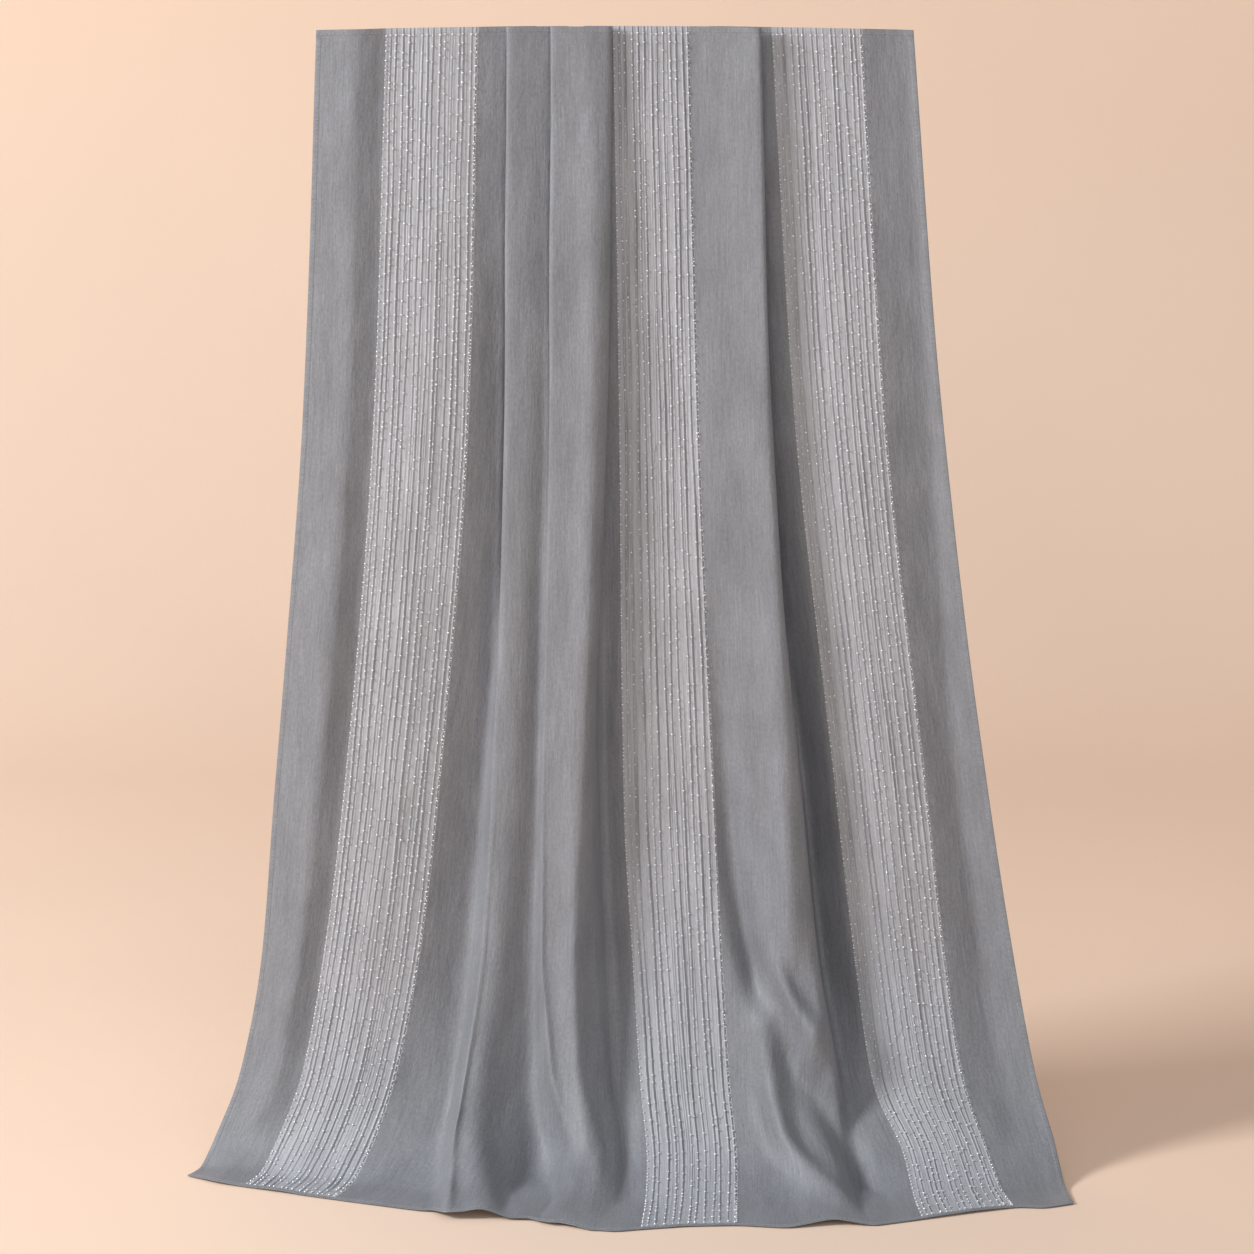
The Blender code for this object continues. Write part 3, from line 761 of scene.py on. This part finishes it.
def thread_material(colour):
    """Twisted sewing thread."""
    material, tree, shader = new_material("sewing_thread")
    place = node(tree, "ShaderNodeTexCoord").outputs["Object"]
    wave = node(tree, "ShaderNodeTexWave", Scale=1600.0, Distortion=1.0)
    wave.bands_direction = "DIAGONAL"
    link(tree, place, wave.inputs["Vector"])
    toned(tree, shader, colour, ranged(tree, wave.outputs["Fac"], 0.85, 1.1))
    link(tree, bumped(tree, wave.outputs["Fac"], 0.0001, 0.5), shader.inputs["Normal"])
    set_inputs(shader, Roughness=0.5, Sheen_Weight=0.3)
    return material


def input_socket(tree, name, kind, default=None):
    socket = tree.interface.new_socket(name=name, in_out="INPUT", socket_type=kind)
    if default is not None:
        socket.default_value = default
    return socket


def repeat_tree(name, shape, sizes):
    """Geometry nodes that set a shape on every point: turned by "turn", scaled by "size"."""
    tree = bpy.data.node_groups.new(name, "GeometryNodeTree")
    input_socket(tree, "Geometry", "NodeSocketGeometry")
    for label, value in sizes.items():
        kind = "NodeSocketInt" if isinstance(value, int) else "NodeSocketFloat"
        input_socket(tree, label, kind, value)
    input_socket(tree, "Finish", "NodeSocketMaterial")
    tree.interface.new_socket(name="Geometry", in_out="OUTPUT", socket_type="NodeSocketGeometry")
    start = tree.nodes.new("NodeGroupInput")
    end = tree.nodes.new("NodeGroupOutput")
    place = tree.nodes.new("GeometryNodeInstanceOnPoints")
    made = shape(tree, start)
    turn = node(
        tree, "GeometryNodeInputNamedAttribute", data_type="FLOAT_VECTOR", Name="turn")
    size = node(tree, "GeometryNodeInputNamedAttribute", data_type="FLOAT", Name="size")
    link(tree, start.outputs["Geometry"], place.inputs["Points"])
    link(tree, made, place.inputs["Instance"])
    link(tree, turn.outputs["Attribute"], place.inputs["Rotation"])
    link(tree, size.outputs["Attribute"], place.inputs["Scale"])
    real = tree.nodes.new("GeometryNodeRealizeInstances")
    smooth = tree.nodes.new("GeometryNodeSetShadeSmooth")
    finish = tree.nodes.new("GeometryNodeSetMaterial")
    link(tree, place.outputs["Instances"], real.inputs["Geometry"])
    link(tree, real.outputs["Geometry"], smooth.inputs["Geometry"])
    link(tree, smooth.outputs["Geometry"], finish.inputs["Geometry"])
    link(tree, start.outputs["Finish"], finish.inputs["Material"])
    link(tree, finish.outputs["Geometry"], end.inputs["Geometry"])
    return tree


def bead_shape(tree, start):
    """A small round bead, a little flatter along its hole."""
    ball = tree.nodes.new("GeometryNodeMeshUVSphere")
    link(tree, start.outputs["Segments"], ball.inputs["Segments"])
    link(tree, start.outputs["Rings"], ball.inputs["Rings"])
    half = node(tree, "ShaderNodeMath", operation="MULTIPLY")
    half.inputs[1].default_value = 0.5
    link(tree, start.outputs["Diameter"], half.inputs[0])
    link(tree, half.outputs["Value"], ball.inputs["Radius"])
    flatter = node(tree, "GeometryNodeTransform", Scale=(1.0, 1.0, 0.8))
    link(tree, ball.outputs["Mesh"], flatter.inputs["Geometry"])
    return flatter.outputs["Geometry"]


def stitch_shape(tree, start):
    """One stitch: a short thread made as a ball stretched along Z."""
    rod = node(tree, "GeometryNodeMeshUVSphere", Segments=6, Rings=5, Radius=0.5)
    scale = tree.nodes.new("GeometryNodeTransform")
    size = tree.nodes.new("ShaderNodeCombineXYZ")
    link(tree, start.outputs["Thickness"], size.inputs["X"])
    link(tree, start.outputs["Thickness"], size.inputs["Y"])
    link(tree, start.outputs["Length"], size.inputs["Z"])
    link(tree, size.outputs["Vector"], scale.inputs["Scale"])
    link(tree, rod.outputs["Mesh"], scale.inputs["Geometry"])
    return scale.outputs["Geometry"]


def repeated_mesh(name, tree, points, ways, sizes, values, material):
    """A plain mesh of the tree's shape on points in millimetres, lying along the given ways."""
    holder_mesh = bpy.data.meshes.new(name + "_points")
    holder_mesh.from_pydata((points * MM).tolist(), [], [])
    turns = [Vector(way).to_track_quat("Z", "Y").to_euler() for way in ways]
    turn = holder_mesh.attributes.new("turn", "FLOAT_VECTOR", "POINT")
    turn.data.foreach_set("vector", np.array(turns, np.float32).ravel())
    size = holder_mesh.attributes.new("size", "FLOAT", "POINT")
    size.data.foreach_set("value", np.asarray(sizes, np.float32))
    holder = bpy.data.objects.new(name + "_points", holder_mesh)
    bpy.context.scene.collection.objects.link(holder)
    modifier = holder.modifiers.new("Repeat", "NODES")
    modifier.node_group = tree
    names = {s.name: s.identifier for s in tree.interface.items_tree if s.in_out == "INPUT"}
    for label, value in {**values, "Finish": material}.items():
        modifier[names[label]] = value
    graph = bpy.context.evaluated_depsgraph_get()
    mesh = bpy.data.meshes.new_from_object(holder.evaluated_get(graph))
    mesh.name = name
    holder.modifiers.remove(modifier)
    bpy.data.objects.remove(holder)
    for extra in ("turn", "size"):
        if extra in mesh.attributes:
            mesh.attributes.remove(mesh.attributes[extra])
    return mesh


def length_setting(name, description, value):
    return bpy.props.FloatProperty(
        name=name, description=description, default=value, min=0.0, unit="LENGTH", precision=5)


def colour_setting(name, description, value):
    return bpy.props.FloatVectorProperty(
        name=name, description=description, default=value, size=3, subtype="COLOR")


class HeadscarfCloth(bpy.types.PropertyGroup):
    thickness: length_setting("Cloth thickness", "Thickness of the visible cloth", 0.6 * MM)
    tuck_rise: length_setting("Tuck rise", "Height of the fine tucks of the bands", 0.72 * MM)
    hem_width: length_setting("Hem width", "Width of the turned hems", 4.0 * MM)
    hem_thickness: length_setting("Hem thickness", "Thickness of the turned hems", 0.8 * MM)
    plain_colour: colour_setting("Plain cloth", "Colour of the plain panels", (0.21, 0.219, 0.24))
    band_colour: colour_setting("Bands", "Colour of the tucked bands", (0.372, 0.384, 0.414))


class HeadscarfTrim(bpy.types.PropertyGroup):
    bead_diameter: length_setting("Bead diameter", "Diameter of the silver beads", 1.6 * MM)
    bead_pitch: length_setting("Bead pitch", "Usual distance between beads on a tuck", 9.5 * MM)
    stitch_length: length_setting("Stitch length", "Length of a hem's stitch", 2.2 * MM)
    stitch_pitch: length_setting("Stitch pitch", "From one stitch to the next", 3.2 * MM)
    thread_thickness: length_setting("Thread thickness", "Of the sewing thread", 0.25 * MM)
    bead_colour: colour_setting("Beads", "Colour of the beads", (0.93, 0.94, 0.96))
    thread_colour: colour_setting("Thread", "Colour of the sewing thread", (0.46, 0.47, 0.5))


class HeadscarfStage(bpy.types.PropertyGroup):
    camera_distance: bpy.props.FloatProperty(
        name="Camera distance", description="Distance of the camera from the cloth",
        default=3.0, min=0.1, unit="LENGTH")
    camera_elevation: bpy.props.FloatProperty(
        name="Camera elevation", description="Angle of the camera above the horizon",
        default=math.radians(11.0), subtype="ANGLE")
    floor_colour: colour_setting("Floor", "Colour of the floor and backdrop", (0.9, 0.7, 0.56))


class HEADSCARF_OT_panels(bpy.types.Operator):
    """Build the plain satin crepe panels"""

    bl_idname = "headscarf.panels"
    bl_label = "Plain panels"

    def execute(self, context):
        cloth = context.scene.headscarf_cloth
        material = cloth_material("satin_crepe", cloth.plain_colour, PLAIN_WEAVE)
        for piece in PANELS:
            grid = wall_grid(piece)
            across = flat_places(piece, len(grid))
            mesh = shell_mesh(piece.name, grid, across, ROWS, cloth.thickness / MM)
            obj = add_piece(piece.name + "_cloth", mesh, material, [piece.name])
        return {"FINISHED"}


class HEADSCARF_OT_bands(bpy.types.Operator):
    """Build the finely tucked bands"""

    bl_idname = "headscarf.bands"
    bl_label = "Tucked bands"

    def execute(self, context):
        cloth = context.scene.headscarf_cloth
        material = cloth_material("tucked_crepe", cloth.band_colour, TUCKED_WEAVE)
        for piece in BANDS:
            grid, normals, _ = band_grid(piece.name)
            across = flat_places(piece, len(grid))
            mesh = shell_mesh(piece.name, grid, across, ROWS, cloth.thickness / MM, normals)
            obj = add_piece(piece.name + "_cloth", mesh, material, [piece.name])
        return {"FINISHED"}


def hem_profile(width, thickness):
    """The rounded outline of a turned hem: distance in from the edge, and height."""
    around = np.linspace(0, 2 * math.pi, HEM_SIDES, endpoint=False)
    along, out = np.cos(around), np.sin(around)
    round_along = np.sign(along) * np.abs(along) ** HEM_ROUND_ALONG
    round_out = np.sign(out) * np.abs(out) ** HEM_ROUND_OUT
    return (width + HEM_LAP) / 2 * (1 + round_along), thickness / 2 * round_out


def hem_mesh(name, run, width, thickness):
    """A closed turned hem along an edge."""
    reach, height = hem_profile(width, thickness)
    ring = run.edge[:, None] + run.inward[:, None] * reach[None, :, None]
    proud = (thickness - bpy.context.scene.headscarf_cloth.thickness / MM) / 4
    ring = ring + run.out[:, None] * (height[None, :, None] + proud)
    ring[..., 2] = np.maximum(ring[..., 2], HEM_LOWEST)
    count, sides = ring.shape[:2]
    index = np.arange(count * sides).reshape(count, sides)
    after = np.roll(index, -1, axis=1)
    faces = np.stack([index[:-1], index[1:], after[1:], after[:-1]], axis=-1).reshape(-1, 4)
    middles = np.array([ring[0].mean(axis=0), ring[-1].mean(axis=0)])
    total = count * sides
    start = [(total, index[0, k], after[0, k]) for k in range(sides)]
    end = [(total + 1, after[-1, k], index[-1, k]) for k in range(sides)]
    places = np.repeat(lengths_along(run.edge), sides)
    uvs = np.stack([places, np.tile(reach, count)], axis=-1)
    points = np.concatenate([ring.reshape(-1, 3), middles])
    uvs = np.concatenate([uvs, uvs[[0, -1]]])
    mesh = make_mesh(name, points, faces.tolist() + start + end, uvs)
    tucked = np.repeat(run.tucked[:-1], sides).astype(np.int32)
    return mesh, np.concatenate([tucked, np.zeros(2 * sides, np.int32)])


def top_run(moved, normals):
    """The top edge: plain where the panels are, and with the tucks where the bands are."""
    _, spans = whole_cloth()
    inward = unit(moved[:, 1] - moved[:, 0])
    edges, ins, outs, tucked = [], [], [], []
    whole = np.arange(len(moved))
    for piece in PIECES:
        first, last = spans[piece.name]
        columns = np.arange(first, last + 1.0)
        if piece in BANDS:
            columns = np.linspace(first, last, BAND_COLUMNS + 1)
        edge, way, out = (
            np.stack([np.interp(columns, whole, line[:, axis]) for axis in range(3)], axis=-1)
            for line in (moved[:, 0], inward, normals[:, 0])
        )
        if piece in BANDS:
            across = np.linspace(0, piece.flat_width, BAND_COLUMNS + 1)[:, None]
            edge = edge + out * tuck_height(piece, across)[:, :1] * TOP_TUCKS
        keep = slice(None, None if piece is PIECES[-1] else -1)
        edges.append(edge[keep])
        ins.append(way[keep])
        outs.append(out[keep])
        tucked.append(np.full(len(edges[-1]), piece in BANDS))
    ins = [unit(np.concatenate(ins))]
    return HemRun(*(np.concatenate(parts) for parts in (edges, ins, outs, tucked)))


@functools.lru_cache(maxsize=1)
def hem_runs():
    """Every hem's edge with its inward and outward directions."""
    grid, _ = whole_cloth()
    moved = lifted(grid, drape(grid[..., 0], ROWS[None, :]))
    hem = bpy.context.scene.headscarf_cloth.hem_width / MM
    sides = moved_in(moved, (hem, hem), 1)
    normals, side_normals = normals_of(moved), normals_of(sides)
    plain, short = np.zeros(len(moved), bool), np.zeros(len(ROWS), bool)
    up = unit(moved[:, -3] - moved[:, -1])
    return {
        "hem_top": top_run(moved, normals),
        "hem_bottom": HemRun(moved[:, -1], up, normals[:, -1], plain),
        "hem_left": HemRun(sides[0], unit(sides[2] - sides[0]), side_normals[0], short),
        "hem_right": HemRun(sides[-1], unit(sides[-3] - sides[-1]), side_normals[-1], short),
    }


class HEADSCARF_OT_hems(bpy.types.Operator):
    """Build the narrow turned hems"""

    bl_idname = "headscarf.hems"
    bl_label = "Hems"

    def execute(self, context):
        cloth = context.scene.headscarf_cloth
        material = cloth_material("hem_crepe", cloth.plain_colour, PLAIN_WEAVE)
        over_bands = cloth_material("hem_tucked", cloth.band_colour, TUCKED_WEAVE)
        width, thickness = cloth.hem_width / MM, cloth.hem_thickness / MM
        for name, run in hem_runs().items():
            mesh, tucked = hem_mesh(name, run, width, thickness)
            obj = add_piece(name + "_cloth", mesh, material, [name])
            if tucked.any():
                obj.data.materials.append(over_bands)
                obj.data.polygons.foreach_set("material_index", tucked)
        return {"FINISHED"}


def bead_places(piece, pitch):
    """Points, ways along the cloth and sizes of a band's beads."""
    grid, normals, ridges = band_grid(piece.name)
    random = np.random.default_rng(7 + piece.tucks)
    rows = np.arange(len(ROWS))
    lines = [(np.full(len(ROWS), column), EDGE_BEADS) for column in EDGE_BEAD_COLUMNS]
    lines += [(column, random.uniform(*RIDGE_BEADS)) for column in ridges]
    points, ways, sizes = [], [], []
    for column, sparse in lines:
        nearest = np.clip(np.rint(column).astype(int), 0, len(grid) - 1)
        line, out = grid[nearest, rows], normals[nearest, rows]
        length = lengths_along(line)
        at = random.uniform(*FIRST_BEAD)
        places = []
        while at < length[-1] - END_BEAD_GAP:
            places.append(at)
            at += pitch * sparse * random.uniform(*BEAD_STEPS)
        places.append(length[-1] - random.uniform(*LAST_BEAD))
        for at in places:
            j = np.interp(at, length, rows)
            low, part = int(j), j - int(j)
            high = min(low + 1, len(length) - 1)
            point = line[low] * (1 - part) + line[high] * part
            points.append(point + out[low] * BEAD_LIFT)
            ways.append(line[high] - line[low] if high > low else line[low] - line[low - 1])
            sizes.append(random.uniform(*BEAD_SIZES))
    return np.array(points), ways, sizes


class HEADSCARF_OT_beads(bpy.types.Operator):
    """Sew small silver beads along the tucks"""

    bl_idname = "headscarf.beads"
    bl_label = "Beads"

    def execute(self, context):
        trim = context.scene.headscarf_trim
        material = bead_material(trim.bead_colour)
        values = {"Diameter": trim.bead_diameter, "Segments": BEAD_SEGMENTS, "Rings": BEAD_RINGS}
        tree = repeat_tree("Beads", bead_shape, values)
        for piece in BANDS:
            points, ways, scales = bead_places(piece, trim.bead_pitch / MM)
            name = piece.name.replace("band", "beads")
            mesh = repeated_mesh(name, tree, points, ways, scales, values, material)
            add_piece(name, mesh, material)
        return {"FINISHED"}


class HEADSCARF_OT_stitches(bpy.types.Operator):
    """Sew the hems with small stitches"""

    bl_idname = "headscarf.stitches"
    bl_label = "Hem stitches"

    def execute(self, context):
        cloth, trim = context.scene.headscarf_cloth, context.scene.headscarf_trim
        material = thread_material(trim.thread_colour)
        values = {"Length": trim.stitch_length, "Thickness": trim.thread_thickness}
        tree = repeat_tree("Stitches", stitch_shape, values)
        points, ways = [], []
        for run in hem_runs().values():
            inset = cloth.hem_width / MM - STITCH_INSET
            line = run.edge + run.inward * inset + run.out * STITCH_LIFT
            length = lengths_along(line)
            last = length[-1] - STITCH_MARGIN
            for at in np.arange(STITCH_MARGIN, last, trim.stitch_pitch / MM):
                if run.tucked[np.searchsorted(length, at) - 1]:
                    continue
                here = [np.interp(at, length, line[:, k]) for k in range(3)]
                ahead = [np.interp(at + 1, length, line[:, k]) for k in range(3)]
                points.append(here)
                ways.append(np.subtract(ahead, here))
        sizes = np.ones(len(points))
        mesh = repeated_mesh("stitches", tree, np.array(points), ways, sizes, values, material)
        add_piece("hem_stitches", mesh, material)
        return {"FINISHED"}


def loose_threads(piece):
    """Short loose threads that lie crooked across a band's tucks, as lines of points."""
    grid, normals, _ = band_grid(piece.name)
    random = np.random.default_rng(90 + piece.tucks)
    threads = []
    for _ in range(THREADS_A_BAND):
        count = int(random.integers(*THREAD_POINTS))
        turn = random.uniform(-THREAD_START_TURN, THREAD_START_TURN)
        turn += 0.0 if random.random() < THREAD_ALONG_SHARE else math.pi / 2
        across = random.uniform(THREAD_START_MARGIN, piece.flat_width - THREAD_START_MARGIN)
        place = np.array([across, random.uniform(*THREAD_START_ROWS)])
        line = []
        for _ in range(count):
            column = place[0] / piece.flat_width * (len(grid) - 1)
            row = np.interp(place[1], ROWS, np.arange(len(ROWS)))
            i, j = int(np.clip(column, 0, len(grid) - 1)), int(row)
            high = min(j + 1, len(ROWS) - 1)
            point = grid[i, j] + (grid[i, high] - grid[i, j]) * (row - j)
            line.append(point + normals[i, j] * THREAD_LIFT)
            turn += random.uniform(-THREAD_TURN, THREAD_TURN)
            way = np.array([math.cos(turn), math.sin(turn)])
            place = place + way * random.uniform(*THREAD_STEPS)
            low = (THREAD_MARGIN, THREAD_ROWS[0])
            place = np.clip(place, low, (piece.flat_width - THREAD_MARGIN, THREAD_ROWS[1]))
        threads.append(np.array(line))
    return threads


def thread_mesh(name, threads, thickness):
    """Closed thin tubes along lines of points."""
    points, faces, sides = [], [], THREAD_SIDES
    around = np.linspace(0, 2 * math.pi, sides, endpoint=False)
    for line in threads:
        first = len(points)
        way = unit(np.gradient(line, axis=0))
        side = unit(np.cross(way, (0.0, -1.0, 0.3)))
        lift = np.cross(side, way)
        size = np.full(len(line), thickness / 2)
        size[[0, -1]] *= THREAD_END_SHARE
        for k, point in enumerate(line):
            ring = np.cos(around)[:, None] * side[k] + np.sin(around)[:, None] * lift[k]
            points.extend(point + ring * size[k])
        for k in range(len(line) - 1):
            for s in range(sides):
                a, b = first + k * sides + s, first + k * sides + (s + 1) % sides
                faces.append((a, b, b + sides, a + sides))
        last = first + (len(line) - 1) * sides
        faces.append(tuple(range(first + sides - 1, first - 1, -1)))
        faces.append(tuple(range(last, last + sides)))
    return make_mesh(name, np.array(points), faces)


class HEADSCARF_OT_threads(bpy.types.Operator):
    """Lay the short loose threads across the tucks"""

    bl_idname = "headscarf.threads"
    bl_label = "Loose threads"

    def execute(self, context):
        trim = context.scene.headscarf_trim
        material = thread_material(trim.thread_colour)
        thickness = trim.thread_thickness / MM * LOOSE_THREAD_SHARE
        for piece in BANDS:
            name = piece.name.replace("band", "threads")
            mesh = thread_mesh(name, loose_threads(piece), thickness)
            add_piece(name, mesh, material)
        return {"FINISHED"}


# The floor and backdrop, in metres from the cloth, and the gap under the cloth's lowest point.
FLOOR_FRONT = 4.5
HALF_FLOOR = 5.0
WALL_BACK = 2.2
WALL_HEIGHT = 4.0
BEND_RADIUS = 0.9
BEND_POINTS = 13
FLOOR_GAP = 0.0005


def sweep_profile():
    """The floor's and backdrop's outline: how far back, and how high above the floor."""
    turns = np.linspace(0, math.pi / 2, BEND_POINTS)
    bend = [
        (WALL_BACK - BEND_RADIUS * (1 - math.sin(turn)), BEND_RADIUS * (1 - math.cos(turn)))
        for turn in turns
    ]
    return [(-FLOOR_FRONT, 0.0)] + bend + [(WALL_BACK, WALL_HEIGHT)]


def stage_material(colour):
    """Pale matt paper with a very soft mottle."""
    material, tree, shader = new_material("pale_paper")
    toned(tree, shader, colour, ranged(tree, object_noise(tree, 1.6, 3.0), 0.95, 1.05))
    set_inputs(shader, Roughness=0.9, Specular_IOR_Level=0.15)
    return material


Light = namedtuple("Light", "name place size watts colour")
LIGHTS = (
    Light("key", (-3.15, -1.45, 1.25), 1.0, 138.0, (0.98, 0.99, 1.0)),
    Light("front", (0.3, -3.8, 0.5), 2.6, 34.0, (0.98, 0.99, 1.0)),
    Light("top", (-0.4, -1.2, 2.4), 2.0, 4.0, (0.98, 0.99, 1.0)),
)
LIGHTS_AIM = Vector((0.0, 0.0, -0.48))
PICTURE_PIXELS = 1254.0
MM_PER_PIXEL = 0.76
LOOK_AT = Vector((0.00988, 0.0, -0.452))


def add_camera(stage):
    data = bpy.data.cameras.new("camera")
    data.sensor_width = 36.0
    data.lens = data.sensor_width * stage.camera_distance / (PICTURE_PIXELS * MM_PER_PIXEL * MM)
    camera = bpy.data.objects.new("camera", data)
    bpy.context.scene.collection.objects.link(camera)
    tilt = stage.camera_elevation
    way = Vector((0.0, -math.cos(tilt), math.sin(tilt)))
    camera.location = LOOK_AT + way * stage.camera_distance
    camera.rotation_euler = (math.pi / 2 - tilt, 0.0, 0.0)
    bpy.context.scene.camera = camera


def add_lights():
    for light in LIGHTS:
        data = bpy.data.lights.new(light.name, "AREA")
        data.energy, data.size, data.color = light.watts, light.size, light.colour
        obj = bpy.data.objects.new(light.name, data)
        obj.location = light.place
        obj.rotation_euler = (LIGHTS_AIM - obj.location).to_track_quat("-Z", "Y").to_euler()
        bpy.context.scene.collection.objects.link(obj)
    world = bpy.data.worlds.new("studio")
    world.use_nodes = True
    background = world.node_tree.nodes["Background"]
    set_inputs(background, Color=(0.97, 0.98, 1.0, 1.0), Strength=0.36)
    bpy.context.scene.world = world


class HEADSCARF_OT_stage(bpy.types.Operator):
    """Set up the pale floor, the soft lights and the camera"""

    bl_idname = "headscarf.stage"
    bl_label = "Stage"

    def execute(self, context):
        stage = context.scene.headscarf_stage
        floor = cad_low.z - FLOOR_GAP
        rows = sweep_profile()
        points = [(x, back, floor + up) for back, up in rows for x in (-HALF_FLOOR, HALF_FLOOR)]
        faces = [(2 * k, 2 * k + 1, 2 * k + 3, 2 * k + 2) for k in range(len(rows) - 1)]
        mesh = bpy.data.meshes.new("backdrop")
        mesh.from_pydata(points, [], faces)
        mesh.shade_smooth()
        mesh.materials.append(stage_material(stage.floor_colour))
        sweep = bpy.data.objects.new("backdrop", mesh)
        context.scene.collection.objects.link(sweep)
        add_camera(stage)
        add_lights()
        context.scene.view_settings.view_transform = "Standard"
        return {"FINISHED"}


class HEADSCARF_PT_panel(bpy.types.Panel):
    """The headscarf's pieces and sizes"""

    bl_label = "Headscarf"
    bl_idname = "HEADSCARF_PT_panel"
    bl_space_type = "VIEW_3D"
    bl_region_type = "UI"
    bl_category = "Headscarf"

    def draw(self, context):
        for settings in (
            context.scene.headscarf_cloth,
            context.scene.headscarf_trim,
            context.scene.headscarf_stage,
        ):
            box = self.layout.box()
            for key in settings.__annotations__:
                box.prop(settings, key)
        for operator in OPERATORS:
            self.layout.operator(operator.bl_idname)


OPERATORS = (
    HEADSCARF_OT_stage,
    HEADSCARF_OT_panels,
    HEADSCARF_OT_bands,
    HEADSCARF_OT_hems,
    HEADSCARF_OT_beads,
    HEADSCARF_OT_stitches,
    HEADSCARF_OT_threads,
)
GROUPS = {
    "headscarf_cloth": HeadscarfCloth,
    "headscarf_trim": HeadscarfTrim,
    "headscarf_stage": HeadscarfStage,
}


def register():
    for kind in (*GROUPS.values(), *OPERATORS, HEADSCARF_PT_panel):
        bpy.utils.register_class(kind)
    for name, group in GROUPS.items():
        setattr(bpy.types.Scene, name, bpy.props.PointerProperty(type=group))


def unregister():
    for name in GROUPS:
        delattr(bpy.types.Scene, name)
    for kind in (HEADSCARF_PT_panel, *OPERATORS, *GROUPS.values()):
        bpy.utils.unregister_class(kind)


def main():
    register()
    bpy.ops.headscarf.stage()
    bpy.ops.headscarf.hems()
    bpy.ops.headscarf.stitches()
    bpy.ops.headscarf.beads()
    bpy.ops.headscarf.threads()
    bpy.ops.headscarf.panels()
    bpy.ops.headscarf.bands()


if __name__ == "__main__":
    main()
